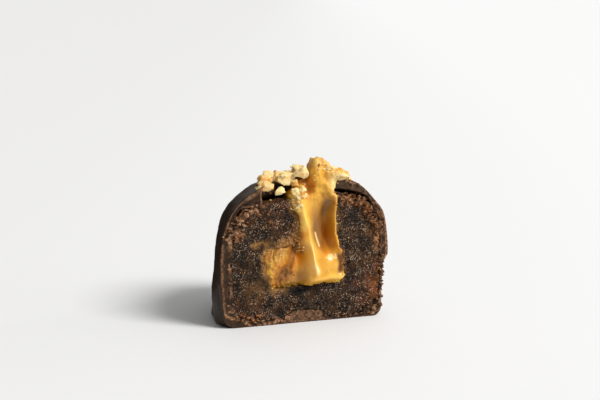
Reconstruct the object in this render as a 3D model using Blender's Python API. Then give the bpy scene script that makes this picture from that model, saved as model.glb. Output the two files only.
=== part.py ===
"""Half of a chocolate-coated date stuffed with peanut butter, standing on its flat base.

The date is cut across its middle. X runs along the cut, Y from the cut towards the tip, Z up.
Three solids show at the cut: the chocolate coat with chopped peanuts on it, the date's flesh,
and the peanut butter that runs through the flesh and swells out of the slit at the top.
"""

import math
import random

import bmesh
import bpy
from mathutils import Vector, noise
from mathutils.geometry import delaunay_2d_cdt

MM = 0.001

# Driving dimensions, in millimetres
CUT_WIDTH = 28.0
BODY_HEIGHT = 23.0
HALF_LENGTH = 21.5
PEAK_HEIGHT = 26.0
WAIST = 9.0
CUT_Y = -HALF_LENGTH / 2
CLEARANCE = 0.3

# Wall of the coat: thick on the left, thin on the right
LEFT_WALL = 1.8
RIGHT_WALL = 1.2
BASE_WALL = 1.2
FLESH_TOP = 20.4
TIP_WALL = 1.8

COAT = {
    "left": CUT_WIDTH / 2,
    "right": CUT_WIDTH / 2,
    "top": BODY_HEIGHT,
    "bottom": -0.35,
    "floor": 0.0,
    "shoulders": (2.45, 2.9),
    "length": HALF_LENGTH,
    "lump": 0.45,
    "lump_size": 7.0,
    "foot": 0.6,
    "lean": 1.0,
    "squareness": 8.0,
}
FLESH = {
    "left": CUT_WIDTH / 2 - LEFT_WALL,
    "right": CUT_WIDTH / 2 - RIGHT_WALL,
    "top": FLESH_TOP,
    "bottom": BASE_WALL,
    "floor": BASE_WALL,
    "shoulders": (4.2, 4.4),
    "length": HALF_LENGTH - TIP_WALL,
    "lump": 0.25,
    "lump_size": 4.0,
    "foot": 0.0,
    "lean": 0.6,
    "squareness": 6.0,
}
PLAN_ROUNDNESS = 1.85
TOP_ROUNDNESS = 2.4
UNDERSIDE_ROUNDNESS = 4.0
LUMP_ROUNDNESS = 1.5
FOOT_HEIGHT = 2.2
# The foot and the lean come in behind the cut, this many times faster than the body runs back
FOOT_RISE = 5.0
CHIP_DEPTH = 0.8
CHIP_TOP = 9.4
CHIP_REACH = 0.12

# Outline of the peanut butter at the cut, anticlockwise from the lower right corner of its pool
BUTTER_OUTLINE = (
    (6.3, 6.2), (6.7, 8.2), (6.5, 10.2), (5.5, 12.3), (5.1, 15.0), (5.1, 18.5), (4.8, 20.9),
    (5.3, 22.4), (7.2, 22.7), (7.1, 23.7), (4.6, 24.5), (2.2, PEAK_HEIGHT), (1.1, 25.0),
    (0.4, 22.6), (-1.5, 21.8), (-2.6, 20.4), (-2.2, 18.4), (-0.8, 17.2), (-0.7, 14.0),
    (-2.4, 12.8), (-5.0, 12.1), (-7.0, 10.7), (-6.2, 8.4), (-5.5, 5.8), (-2.8, 5.6), (2.0, 6.1),
)
BUTTER_LENGTH = 16.5
BUTTER_AXIS = (0.6, 10.0)
BUTTER_ROUNDNESS = 2.6
NECK_HEIGHT = 18.0
NECK_X = 2.1
NECK_PULL = 0.42
NECK_FADE = 3.0
BURIED_TOP = 20.7
PEAK_LENGTH = 7.5

# Relief of the peanut butter's cut face: humps as centre, half sizes and depth, and a raised strand
DENT = ((3.7, 14.8), (1.1, 2.9), 2.6)
HOLLOW = ((-4.6, 8.0), (1.3, 1.6), 0.7)
STRAND_TOP = (0.5, 18.0)
STRAND_LEAN = 0.18
STRAND_WIDTH = 0.8
STRAND_HEIGHT = 0.7
FACE_FORWARD = 0.2

# Air pockets under the coat at the cut: centre and half sizes from the cut plane, and tilt in degrees
RIGHT_POCKET = ((7.0, 0.0, 20.6), (3.1, 3.4, 0.75), 15.0)
LEFT_POCKET = ((-4.7, 0.0, 20.5), (2.3, 4.2, 1.5), -4.0)
BROKEN_TOP = ((-3.2, 0.0, 22.3), (3.3, 1.2, 2.6), 0.0)

# Chopped peanuts: the large ones at the cut, then a seeded scatter over the top of the coat
LARGE_NUTS = (
    ((-6.6, 0.9, -0.1), (1.8, 1.1, 1.0)),
    ((-5.9, 2.4, 0.6), (1.4, 1.1, 1.0)),
    ((-3.9, 2.7, 0.7), (1.5, 1.2, 1.0)),
    ((-2.6, 1.4, 0.0), (1.8, 1.2, 1.3)),
    ((-0.4, 3.0, 0.9), (1.6, 1.3, 1.3)),
    ((8.0, 3.2, 0.2), (1.3, 1.0, 0.9)),
)
NUT_SEED = 11
NUT_COUNT = 36
NUT_BAND = (-3.9, 7.2)
NUT_DRIFT = 0.38
NUT_SPACING = 2.1
NUT_SIZES = (1.0, 1.7)
NUT_DEPTHS = (0.6, 1.0)
NUT_FLATNESS = (0.55, 0.9)
NUT_LIFT = 0.3
NUT_POINTS = 14
NUT_SHARES = (0.06, 0.93)
NUT_SPREAD = 44
NUT_TRIES = 4000
# The scatter keeps off the peanut butter that stands out of the slit
BARE_WIDTH = (-3.2, 8.2)
BARE_LENGTH = PEAK_LENGTH + 1.2

# Mesh density
COAT_SIDES = 72
FLESH_SIDES = 52
BUTTER_SIDES = 76
STATIONS = 13
FACE_STEP = 1.35
BUTTER_FACE_STEP = 0.8
ROW_SHARE = 0.87
EDGE_SHARE = 0.6
CURVE_STEPS = 8
POCKET_SEGMENTS = (18, 10)
MERGE_DISTANCE = 1e-6
CUTTER_FORWARD = 2.0
BISECTIONS = 30
CRAG_DEPTH = 0.35
CRAG_SIZE = 1.6
CRAG_ROW = 3.7
SHARP_ANGLE = 35

# Colour and roughness of each material
DARK_CHOCOLATE = ((0.035, 0.022, 0.017), 0.35)
DATE_FLESH = ((0.045, 0.025, 0.016), 0.5)
PEANUT_BUTTER = ((0.72, 0.36, 0.07), 0.3)


def clear_scene():
    for item in list(bpy.data.objects):
        bpy.data.objects.remove(item)


def material(name, colour, roughness):
    made = bpy.data.materials.new(name)
    made.use_nodes = True
    shader = made.node_tree.nodes["Principled BSDF"]
    shader.inputs["Base Color"].default_value = (*colour, 1.0)
    shader.inputs["Roughness"].default_value = roughness
    return made


def quarter(share, roundness):
    """Height of a superellipse quarter at a share of its length."""
    return (1.0 - share**roundness) ** (1.0 / roundness)


def body_point(body, angle, share, grow):
    """Surface point of a body at a polar angle round the waist and a share of its length."""
    cosine, sine = math.cos(angle), math.sin(angle)
    side = 1 if cosine > 0 else 0
    half_width = (body["left"], body["right"])[side] * quarter(share, PLAN_ROUNDNESS)
    if sine > 0:
        squareness = body["shoulders"][side]
        half_height = (body["top"] - WAIST) * quarter(share, TOP_ROUNDNESS)
    else:
        squareness = body["squareness"]
        half_height = (WAIST - body["bottom"]) * quarter(share, UNDERSIDE_ROUNDNESS)
    across = (abs(cosine) / half_width) ** squareness
    upright = (abs(sine) / half_height) ** squareness
    radius = (across + upright) ** (-1.0 / squareness) + grow
    y = CUT_Y + share * (body["length"] + grow)
    height = WAIST + radius * sine
    spot = Vector((radius * cosine, y, height)) / body["lump_size"]
    above_base = min(1.0, max(0.0, height / FOOT_HEIGHT))
    radius += body["lump"] * noise.noise(spot) * quarter(share, LUMP_ROUNDNESS) * above_base
    behind = min(1.0, share * FOOT_RISE)
    radius += body["foot"] * max(0.0, 1.0 - height / FOOT_HEIGHT) * behind
    radius -= body["lean"] * (height - WAIST) / (BODY_HEIGHT - WAIST) * abs(cosine) * behind
    if body is COAT and side == 1 and height < CHIP_TOP and share < CHIP_REACH:
        radius -= CHIP_DEPTH * (1.0 - share / CHIP_REACH) * above_base
    height = max(WAIST + radius * sine, body["floor"] - grow)
    return Vector((radius * cosine, y, height))


def body_rings(body, sides, grow=0.0):
    """Rings from the cut to just before the tip, closer together as the body rounds off."""
    shares = [math.sin(math.pi / 2 * i / STATIONS) for i in range(STATIONS)]
    angles = [2 * math.pi * i / sides for i in range(sides)]
    return [[body_point(body, angle, share, grow) for angle in angles] for share in shares]


def smooth_loop(points, steps):
    """Closed Catmull-Rom curve through the points."""
    curve = []
    count = len(points)
    for i in range(count):
        p0, p1, p2, p3 = (Vector(points[(i + k) % count]) for k in (-1, 0, 1, 2))
        for step in range(steps):
            t = step / steps
            curve.append(
                0.5 * (2 * p1 + (p2 - p0) * t + (2 * p0 - 5 * p1 + 4 * p2 - p3) * t**2
                       + (3 * p1 - p0 - 3 * p2 + p3) * t**3)
            )
    return curve


def even_spacing(loop, count):
    """The loop with this many points, equally far apart."""
    lengths = [0.0]
    for i, point in enumerate(loop):
        lengths.append(lengths[-1] + (loop[(i + 1) % len(loop)] - point).length)
    spaced, i = [], 0
    for k in range(count):
        wanted = lengths[-1] * k / count
        while lengths[i + 1] < wanted:
            i += 1
        share = (wanted - lengths[i]) / (lengths[i + 1] - lengths[i])
        spaced.append(loop[i].lerp(loop[(i + 1) % len(loop)], share))
    return spaced


def butter_rings():
    """Rings of the peanut butter: its outline shrinks to the back, and the peak sinks under the coat."""
    loop = even_spacing(smooth_loop(BUTTER_OUTLINE, CURVE_STEPS), BUTTER_SIDES)
    axis = Vector(BUTTER_AXIS)
    rings = []
    for i in range(STATIONS):
        share = math.sin(math.pi / 2 * i / STATIONS)
        size = quarter(share, BUTTER_ROUNDNESS)
        back = share * BUTTER_LENGTH
        sunk = min(1.0, (back / PEAK_LENGTH) ** 2)
        ring = []
        for x, z in loop:
            above = max(0.0, z - NECK_HEIGHT)
            z -= above * sunk * (1.0 - (BURIED_TOP - NECK_HEIGHT) / (PEAK_HEIGHT - NECK_HEIGHT))
            x += (NECK_X - x) * sunk * NECK_PULL * min(1.0, above / NECK_FADE)
            ring.append(axis + (Vector((x, z)) - axis) * size)
        rings.append([Vector((p.x, CUT_Y + back, p.y)) for p in ring])
    return rings


def butter_room(name):
    """The peanut butter's shape, larger by the clearance all round and open at the cut."""
    made = solid(name, butter_rings(), forward=CUTTER_FORWARD, tip=butter_tip())
    normals = [vertex.normal.copy() for vertex in made.data.vertices]
    for vertex, normal in zip(made.data.vertices, normals):
        vertex.co += normal * CLEARANCE * MM
    return made


def bump(x, z, centre, half_sizes, height):
    """A smooth hump with this height at its centre."""
    across = (x - centre[0]) / half_sizes[0]
    upright = (z - centre[1]) / half_sizes[1]
    return height * math.exp(-(across**2) - upright**2)


def butter_relief(x, z):
    """How far the peanut butter's face lies behind the cut: a deep dent beside a raised strand."""
    dent = bump(x, z, *DENT)
    hollow = bump(x, z, *HOLLOW)
    strand_x = STRAND_TOP[0] + STRAND_LEAN * (STRAND_TOP[1] - z)
    strand = STRAND_HEIGHT * math.exp(-(((x - strand_x) / STRAND_WIDTH) ** 2))
    return dent + hollow - strand - FACE_FORWARD


def flesh_relief(x, z):
    """Crags of the flesh's cut face."""
    return CRAG_DEPTH * noise.noise(Vector((x, CRAG_ROW, z)) / CRAG_SIZE)


def inner_points(loop, step):
    """Points inside the loop on a triangular grid."""
    xs, zs = [p.x for p in loop], [p.y for p in loop]
    points = []
    row = 0
    z = min(zs) + step / 2
    while z < max(zs):
        x = min(xs) + step / 2 * (1 + row % 2)
        while x < max(xs):
            inside = False
            for i, p in enumerate(loop):
                q = loop[i - 1]
                if (p.y > z) != (q.y > z) and x < (q.x - p.x) * (z - p.y) / (q.y - p.y) + p.x:
                    inside = not inside
            nearest = min((Vector((x, z)) - p).length for p in loop)
            if inside and nearest > step * EDGE_SHARE:
                points.append(Vector((x, z)))
            x += step
        z += step * ROW_SHARE
        row += 1
    return points


def solid(name, rings, relief=None, step=FACE_STEP, forward=0.0, tip=None):
    """Closed mesh: a cut face at the first ring, the sides, and a rounded end at the tip."""
    mesh = bmesh.new()
    if forward:
        rings = [[p - Vector((0.0, forward, 0.0)) for p in rings[0]]] + rings
    sides = len(rings[0])
    made = [[mesh.verts.new(p * MM) for p in ring] for ring in rings]
    for near, far in zip(made, made[1:]):
        for i in range(sides):
            mesh.faces.new((near[i], near[(i + 1) % sides], far[(i + 1) % sides], far[i]))
    end = mesh.verts.new(tip * MM)
    for i in range(sides):
        mesh.faces.new((made[-1][i], made[-1][(i + 1) % sides], end))
    loop = [Vector((p.x, p.z)) for p in rings[0]]
    inner = inner_points(loop, step) if relief else []
    face_y = rings[0][0].y
    points, _, triangles, origins, _, _ = delaunay_2d_cdt(
        loop + inner, [], [list(range(sides))], 1, MERGE_DISTANCE
    )
    corners = []
    for point, origin in zip(points, origins):
        if origin and origin[0] < sides:
            corners.append(made[0][origin[0]])
        else:
            depth = relief(point.x, point.y)
            corners.append(mesh.verts.new(Vector((point.x, face_y + depth, point.y)) * MM))
    for triangle in triangles:
        mesh.faces.new([corners[i] for i in triangle])
    bmesh.ops.recalc_face_normals(mesh, faces=mesh.faces)
    return as_object(name, mesh)


def as_object(name, mesh):
    data = bpy.data.meshes.new(name)
    mesh.to_mesh(data)
    mesh.free()
    made = bpy.data.objects.new(name, data)
    bpy.context.scene.collection.objects.link(made)
    return made


def pocket(name, shape):
    """Ellipsoid cutter for a gap at the cut."""
    centre, half_sizes, tilt = shape
    around, upward = POCKET_SEGMENTS
    mesh = bmesh.new()
    bmesh.ops.create_uvsphere(mesh, u_segments=around, v_segments=upward, radius=1.0)
    made = as_object(name, mesh)
    made.scale = Vector(half_sizes) * MM
    made.rotation_euler.y = math.radians(tilt)
    made.location = (Vector(centre) + Vector((0.0, CUT_Y, 0.0))) * MM
    return made


def carve(target, cutter):
    """Takes the cutter away from the target and keeps the cutter as a hidden guide."""
    cutter.hide_render = True
    cutter.display_type = "WIRE"
    cut = target.modifiers.new(cutter.name, "BOOLEAN")
    cut.operation = "DIFFERENCE"
    cut.object = cutter


def nut(name, centre, half_sizes, rng):
    """One angular piece of chopped peanut: the hull of a few points on an ellipsoid."""
    mesh = bmesh.new()
    for _ in range(NUT_POINTS):
        way = Vector([rng.gauss(0.0, 1.0) for _ in range(3)]).normalized()
        spot = Vector(way[k] * half_sizes[k] for k in range(3))
        mesh.verts.new((Vector(centre) + spot) * MM)
    hull = bmesh.ops.convex_hull(mesh, input=mesh.verts)
    spare = [v for v in hull["geom_interior"] if isinstance(v, bmesh.types.BMVert)]
    bmesh.ops.delete(mesh, geom=spare, context="VERTS")
    bmesh.ops.triangulate(mesh, faces=mesh.faces)
    bmesh.ops.recalc_face_normals(mesh, faces=mesh.faces)
    return as_object(name, mesh)


def coat_top(x, back):
    """Point on the upper side of the coat at x and a distance behind the cut."""
    low, high = 0.0, math.pi
    for _ in range(BISECTIONS):
        angle = (low + high) / 2
        spot = body_point(COAT, angle, back / HALF_LENGTH, 0.0)
        if spot.x > x:
            low = angle
        else:
            high = angle
    return spot


def nut_places(rng):
    """Centres and half sizes of the large nuts, then of the seeded scatter on the coat."""
    made = []
    for (x, back, lift), half_sizes in LARGE_NUTS:
        made.append((coat_top(x, back) + Vector((0.0, 0.0, lift)), half_sizes))
    placed = [centre for centre, _ in made]
    large = len(made)
    tries = 0
    while len(made) < large + NUT_COUNT and tries < NUT_TRIES:
        tries += 1
        share = rng.uniform(*NUT_SHARES)
        angle = math.pi / 2 + rng.uniform(-1.0, 1.0) * math.radians(NUT_SPREAD)
        size = rng.uniform(*NUT_SIZES)
        flat = rng.uniform(*NUT_FLATNESS)
        spot = body_point(COAT, angle, share, 0.0)
        over_butter = BARE_WIDTH[0] < spot.x < BARE_WIDTH[1] and share * HALF_LENGTH < BARE_LENGTH
        crowded = any((spot - other).length < NUT_SPACING for other in placed)
        in_band = NUT_BAND[0] + NUT_DRIFT * spot.y < spot.x < NUT_BAND[1]
        if over_butter or crowded or not in_band:
            continue
        placed.append(spot)
        lifted = spot + Vector((0.0, 0.0, NUT_LIFT))
        made.append((lifted, (size, size * rng.uniform(*NUT_DEPTHS), size * flat)))
    return made


def settle(made):
    """Applies the object's modifiers and removes the cutters that they used."""
    used = [modifier.object for modifier in made.modifiers if modifier.object]
    graph = bpy.context.evaluated_depsgraph_get()
    made.data = bpy.data.meshes.new_from_object(made.evaluated_get(graph))
    made.modifiers.clear()
    for cutter in used:
        bpy.data.objects.remove(cutter)


def chopped_nuts():
    """The chopped peanuts in a collection of their own."""
    rng = random.Random(NUT_SEED)
    nuts = bpy.data.collections.new("nuts")
    bpy.context.scene.collection.children.link(nuts)
    for i, (centre, sizes) in enumerate(nut_places(rng)):
        piece = nut(f"nut_{i}", centre, sizes, rng)
        bpy.context.scene.collection.objects.unlink(piece)
        nuts.objects.link(piece)
    return nuts


def chocolate_coat(colour):
    """The coat, broken open above the flesh, with the nuts fused on and a cavity for the filling."""
    made = solid("chocolate_coat", body_rings(COAT, COAT_SIDES), tip=tip_of(COAT))
    carve(made, pocket("right_pocket", RIGHT_POCKET))
    carve(made, pocket("left_pocket", LEFT_POCKET))
    carve(made, pocket("broken_top", BROKEN_TOP))
    settle(made)
    nuts = chopped_nuts()
    union = made.modifiers.new("nuts", "BOOLEAN")
    union.operation = "UNION"
    union.operand_type = "COLLECTION"
    union.collection = nuts
    settle(made)
    for piece in list(nuts.objects):
        bpy.data.objects.remove(piece)
    bpy.data.collections.remove(nuts)
    rings = body_rings(FLESH, FLESH_SIDES, CLEARANCE)
    carve(made, solid("cavity", rings, forward=CUTTER_FORWARD, tip=tip_of(FLESH, CLEARANCE)))
    carve(made, butter_room("butter_room_in_coat"))
    made.data.materials.clear()
    made.data.materials.append(colour)
    return made


def tip_of(body, grow=0.0):
    return Vector((0.0, CUT_Y + body["length"] + grow, WAIST))


def butter_tip():
    return Vector((BUTTER_AXIS[0], CUT_Y + BUTTER_LENGTH, BUTTER_AXIS[1]))


def date_flesh(colour):
    rings = body_rings(FLESH, FLESH_SIDES)
    made = solid("date_flesh", rings, relief=flesh_relief, tip=tip_of(FLESH))
    carve(made, butter_room("butter_room_in_flesh"))
    made.data.materials.append(colour)
    return made


def peanut_butter(colour):
    rings = butter_rings()
    made = solid("peanut_butter", rings, relief=butter_relief, step=BUTTER_FACE_STEP, tip=butter_tip())
    made.data.materials.append(colour)
    return made


def main():
    clear_scene()
    parts = [
        chocolate_coat(material("dark_chocolate", *DARK_CHOCOLATE)),
        date_flesh(material("date_flesh", *DATE_FLESH)),
        peanut_butter(material("peanut_butter", *PEANUT_BUTTER)),
    ]
    for part in parts:
        part.data.shade_smooth()
        part.data.set_sharp_from_angle(angle=math.radians(SHARP_ANGLE))


main()
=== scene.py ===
"""Looks of the cut half of a chocolate-coated date stuffed with peanut butter.

Shapes are worked out in millimetres in the part's frame: X along the cut, Y from the cut towards
the tip, Z up. They become metres where a mesh is made. Places on the cut face are (x, z), and polar
angles go round the waist in degrees, from the right and over the top.
"""

import math
import random

import bmesh
import bpy
import numpy as np
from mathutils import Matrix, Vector, noise
from mathutils.bvhtree import BVHTree
from mathutils.geometry import delaunay_2d_cdt


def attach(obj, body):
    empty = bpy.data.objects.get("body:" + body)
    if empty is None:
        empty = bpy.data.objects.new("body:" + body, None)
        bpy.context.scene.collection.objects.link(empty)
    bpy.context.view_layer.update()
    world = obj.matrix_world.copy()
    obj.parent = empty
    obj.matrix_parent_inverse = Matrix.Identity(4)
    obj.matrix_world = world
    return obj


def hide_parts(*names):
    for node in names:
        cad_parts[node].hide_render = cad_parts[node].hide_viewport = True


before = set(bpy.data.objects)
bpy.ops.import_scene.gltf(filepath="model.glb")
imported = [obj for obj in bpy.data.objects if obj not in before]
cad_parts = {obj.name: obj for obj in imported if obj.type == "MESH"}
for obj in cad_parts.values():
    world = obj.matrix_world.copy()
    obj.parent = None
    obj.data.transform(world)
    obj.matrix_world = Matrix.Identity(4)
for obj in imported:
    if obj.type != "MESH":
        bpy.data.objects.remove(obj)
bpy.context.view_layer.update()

MM = 0.001

# Driving dimensions of the half date, as in the solids
CUT_WIDTH = 28.0
BODY_HEIGHT = 23.0
HALF_LENGTH = 21.5
PEAK_HEIGHT = 26.0
WAIST = 9.0
CUT_Y = -HALF_LENGTH / 2
LEFT_WALL = 1.8
RIGHT_WALL = 1.2
BASE_WALL = 1.2
FLESH_TOP = 20.4
TIP_WALL = 1.8

COAT = dict(
    left=CUT_WIDTH / 2, right=CUT_WIDTH / 2, top=BODY_HEIGHT, bottom=-0.35, floor=0.0,
    shoulders=(2.45, 2.9), squareness=8.0, length=HALF_LENGTH, lump=0.45, lump_size=7.0,
    foot=0.6, lean=1.0,
)
FLESH = dict(
    left=CUT_WIDTH / 2 - LEFT_WALL, right=CUT_WIDTH / 2 - RIGHT_WALL, top=FLESH_TOP,
    bottom=BASE_WALL, floor=0.25, shoulders=(4.2, 4.4), squareness=6.0,
    length=HALF_LENGTH - TIP_WALL, lump=0.25, lump_size=4.0, foot=0.0, lean=0.6,
)
PLAN_ROUNDNESS = 1.85
TOP_ROUNDNESS = 2.4
UNDERSIDE_ROUNDNESS = 4.0
FOOT_HEIGHT = 2.2
CHIP_DEPTH = 0.8
CHIP_TOP = 9.4
CHIP_REACH = 0.12
CHIP_SLANT = 0.9

# Peanut butter
BUTTER_OUTLINE = (
    (6.3, 6.2), (6.7, 8.2), (6.5, 10.2), (5.5, 12.3), (5.1, 15.0), (5.1, 18.5), (4.8, 20.9),
    (5.3, 22.4), (7.2, 22.7), (7.1, 23.7), (4.6, 24.5), (2.2, PEAK_HEIGHT), (1.1, 25.0),
    (0.4, 22.6), (-1.5, 21.8), (-2.6, 20.4), (-2.2, 18.4), (-1.2, 17.3), (-1.1, 14.2),
    (-2.4, 12.8), (-5.0, 12.1), (-7.0, 10.7), (-6.2, 8.4), (-5.5, 5.8), (-2.8, 5.6), (2.0, 6.1),
)
BUTTER_LENGTH = 16.5
BUTTER_AXIS = (0.6, 10.0)
BUTTER_ROUNDNESS = 2.6
NECK_HEIGHT = 18.0
NECK_X = 2.1
NECK_PULL = 0.42
BURIED_TOP = 20.7
PEAK_LENGTH = 7.5

# Chopped peanuts: the large ones at the cut, then a seeded scatter over the top of the coat
LARGE_NUTS = (
    ((-6.6, 0.9, -0.1), (1.8, 1.1, 1.0)),
    ((-5.9, 2.4, 0.6), (1.4, 1.1, 1.0)),
    ((-3.9, 2.7, 0.7), (1.5, 1.2, 1.0)),
    ((-2.6, 1.4, 0.0), (1.8, 1.2, 1.3)),
    ((-0.4, 3.0, 0.9), (1.6, 1.3, 1.3)),
    ((8.0, 3.2, 0.2), (1.3, 1.0, 0.9)),
)
NUT_SEED = 11
NUT_COUNT = 36
NUT_BAND = (-3.9, 7.2)
NUT_DRIFT = 0.38
NUT_SPACING = 2.1
NUT_SIZES = (1.0, 1.7)
NUT_LIFT = 0.3
NUT_POINTS = 14

# Mesh density
SIDES = 480
COAT_STATIONS = 110
LINING_STATIONS = 26
BAND_STEPS = 12
FACE_RINGS = 112
FLESH_STATIONS = 60
TIP_SHARES = 1.0 - np.array([6e-5, 2e-5, 4e-6, 5e-7, 3e-8])
BUTTER_SIDES = 300
BUTTER_STATIONS = 46
BUTTER_STEP = 0.17
ROOM_SIDES = 150
ROOM_STATIONS = 24
ROOM_STEP = 1.0


# Small maths helpers

def ramp(value, low, high):
    """Smooth step from 0 at low to 1 at high; low may be the larger."""
    share = np.clip((value - low) / (high - low), 0.0, 1.0)
    return share * share * (3.0 - 2.0 * share)


def window(value, start, full, full_end, end):
    """Smooth step up from start to full, and down again from full_end to end."""
    return ramp(value, start, full) * ramp(value, end, full_end)


def bell(away, half_width, power=2):
    """Bell curve of height 1 where away is 0."""
    return np.exp(-((away / half_width) ** power))


def hump(x, z, middle_x, middle_z, half_width, half_height):
    """Smooth hump of height 1 on the cut face."""
    return bell(x - middle_x, half_width) * bell(z - middle_z, half_height)


def path_distance(x, z, path):
    """Distance to a bent line on the cut face."""
    nearest = np.full(np.shape(x), np.inf)
    for (ax, az), (bx, bz) in zip(path, path[1:]):
        dx, dz = bx - ax, bz - az
        share = np.clip(((x - ax) * dx + (z - az) * dz) / (dx * dx + dz * dz), 0.0, 1.0)
        nearest = np.minimum(nearest, np.hypot(x - ax - share * dx, z - az - share * dz))
    return nearest


def loop_distance(x, z, loop):
    return path_distance(x, z, np.vstack([loop, loop[:1]]))


def band(x, z, path, half_width):
    """Soft line of height 1 along a path on the cut face."""
    return bell(path_distance(x, z, path), half_width)


def marks(x, z, lines, humps):
    """Sum of soft lines (height, half width, path) and humps (height, x, z, half width, half height)."""
    total = np.zeros(np.shape(x))
    for height, half_width, path in lines:
        total += height * band(x, z, path, half_width)
    for height, *place in humps:
        total += height * hump(x, z, *place)
    return total


def noise_at(points, size, seed=0.0):
    """Noise at each point, with features of this size in millimetres."""
    flat = np.asarray(points, float).reshape(-1, 3) / size + seed
    return np.array([noise.noise(spot) for spot in flat.tolist()]).reshape(np.shape(points)[:-1])


def layers(points, *rows):
    """Sum of noises, each given as its height, size and seed."""
    return sum(height * noise_at(points, size, seed) for height, size, seed in rows)


# Meshes

def add_object(name, data):
    made = bpy.data.objects.new(name, data)
    bpy.context.scene.collection.objects.link(made)
    return made


def make_object(name, points, faces):
    """Smooth mesh object from points in millimetres."""
    data = bpy.data.meshes.new(name)
    data.from_pydata((np.asarray(points) * MM).tolist(), [], faces)
    data.validate()
    data.shade_smooth()
    return add_object(name, data)


def face_outwards(made):
    mesh = bmesh.new()
    mesh.from_mesh(made.data)
    bmesh.ops.recalc_face_normals(mesh, faces=mesh.faces)
    mesh.to_mesh(made.data)
    mesh.free()
    return made


def ring_faces(here):
    """Quads between neighbouring rings of point numbers."""
    beside = np.roll(here, -1, axis=1)
    return np.stack([here[:-1], beside[:-1], beside[1:], here[1:]], axis=-1).reshape(-1, 4).tolist()


def fan(ring, tip):
    """Triangles from a ring of point numbers to one more point."""
    return [(a, b, tip) for a, b in zip(ring.tolist(), np.roll(ring, -1).tolist())]


def tube(name, rings, start, end):
    """Closed mesh over rings of equally many points, with a point at each end."""
    count, sides = rings.shape[:2]
    here = 1 + np.arange(count * sides).reshape(count, sides)
    points = np.vstack([[start], rings.reshape(-1, 3), [end]])
    faces = ring_faces(here) + fan(here[0][::-1], 0) + fan(here[-1], len(points) - 1)
    return face_outwards(make_object(name, points, faces))


def vectors_of(values, key):
    flat = np.empty(len(values) * 3, np.float32)
    values.foreach_get(key, flat)
    return flat.reshape(-1, 3).astype(float)


def points_of(made):
    """The object's points in millimetres."""
    return vectors_of(made.data.vertices, "co") / MM


def normals_of(made):
    return vectors_of(made.data.vertex_normals, "vector")


def set_points(made, points):
    made.data.vertices.foreach_set("co", (points * MM).astype(np.float32).ravel())
    made.data.update()


def set_masks(made, **masks):
    """Stores numbers from 0 to 1 for each point, for the material to read."""
    for name, values in masks.items():
        layer = made.data.attributes.new(name, "FLOAT", "POINT")
        values = np.broadcast_to(np.clip(values, 0.0, 1.0), len(made.data.vertices))
        layer.data.foreach_set("value", values.astype(np.float32))


def merge(parts):
    """Points and faces of several meshes, as those of one."""
    points, faces, first = [], [], 0
    for part_points, part_faces in parts:
        points.append(part_points)
        faces += [tuple(i + first for i in face) for face in part_faces]
        first += len(part_points)
    return np.vstack(points), faces


# The body's surfaces

def quarter(share, roundness):
    """Height of a superellipse quarter at a share of its length."""
    return np.maximum(0.0, 1.0 - share**roundness) ** (1.0 / roundness)


def body_surface(body, angle, share, grow=0.0):
    """Surface points of the coat or the flesh at polar angles round the waist and shares of its length."""
    angle, share, grow = np.broadcast_arrays(angle, share, grow)
    cosine, sine = np.cos(angle), np.sin(angle)
    right, upper = cosine > 0, sine > 0
    half_width = np.where(right, body["right"], body["left"]) * quarter(share, PLAN_ROUNDNESS)
    shoulder = np.where(right, body["shoulders"][1], body["shoulders"][0])
    squareness = np.where(upper, shoulder, body["squareness"])
    half_height = np.where(
        upper,
        (body["top"] - WAIST) * quarter(share, TOP_ROUNDNESS),
        (WAIST - body["bottom"]) * quarter(share, UNDERSIDE_ROUNDNESS),
    )
    across = (np.abs(cosine) / half_width) ** squareness
    upright = (np.abs(sine) / half_height) ** squareness
    radius = (across + upright) ** (-1.0 / squareness) + grow
    y = CUT_Y + share * body["length"]
    height = WAIST + radius * sine
    above_base = np.clip(height / FOOT_HEIGHT, 0.0, 1.0)
    lumps = noise_at(np.stack([radius * cosine, y, height], axis=-1), body["lump_size"])
    radius = radius + body["lump"] * lumps * quarter(share, 1.5) * above_base
    behind = np.minimum(1.0, share * 5.0)
    radius += body["foot"] * np.maximum(0.0, 1.0 - height / FOOT_HEIGHT) * behind
    radius -= body["lean"] * (height - WAIST) / (BODY_HEIGHT - WAIST) * np.abs(cosine) * behind
    if body is COAT:
        line = height + 0.5 * noise_at(np.stack([y, height, height], axis=-1), 0.8, 3.0)
        chipped = right * ramp(line, CHIP_TOP + CHIP_SLANT, CHIP_TOP - CHIP_SLANT)
        radius -= chipped * CHIP_DEPTH * np.maximum(0.0, 1.0 - share / CHIP_REACH) * above_base
    height = np.maximum(WAIST + radius * sine, body["floor"])
    return np.stack([radius * cosine, y, height], axis=-1)


# Middle, half width and height or depth of forms round the waist
FULL_SHOULDER = (32.0, 7.5, 0.42)
WEDGE_DIP = (126.0, 8.5, 1.25)
BUTTER_NOTCH = (86.0, 17.5, 1.4)
# Arcs give where a form starts, is full, is full for the last time, and ends
BASE_SAGS = (
    (1.0, (213.0, 218.0, 226.0, 230.0)),
    (-0.8, (243.0, 256.0, 290.0, 294.0)),
    (1.0, (291.0, 297.0, 319.0, 324.0)),
)
BASE_SLAB = (244.0, 249.0, 289.0, 293.0)
# Air gaps between coat and flesh: height, reach behind the cut, arc
AIR_GAPS = ((1.5, 4.2, (96.0, 104.0, 118.0, 127.0)), (0.7, 3.0, (36.0, 47.0, 82.0, 92.0)))
# Middle, half width, height and reach
CRACK = (141.0, 7.0, 0.5, 1.8)
# Angle where the coat breaks off, how that shifts through its wall, depth
BROKEN_EDGE = (117.8, 7.7, 2.4)
ALMOST_TIP = 0.9995


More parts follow.
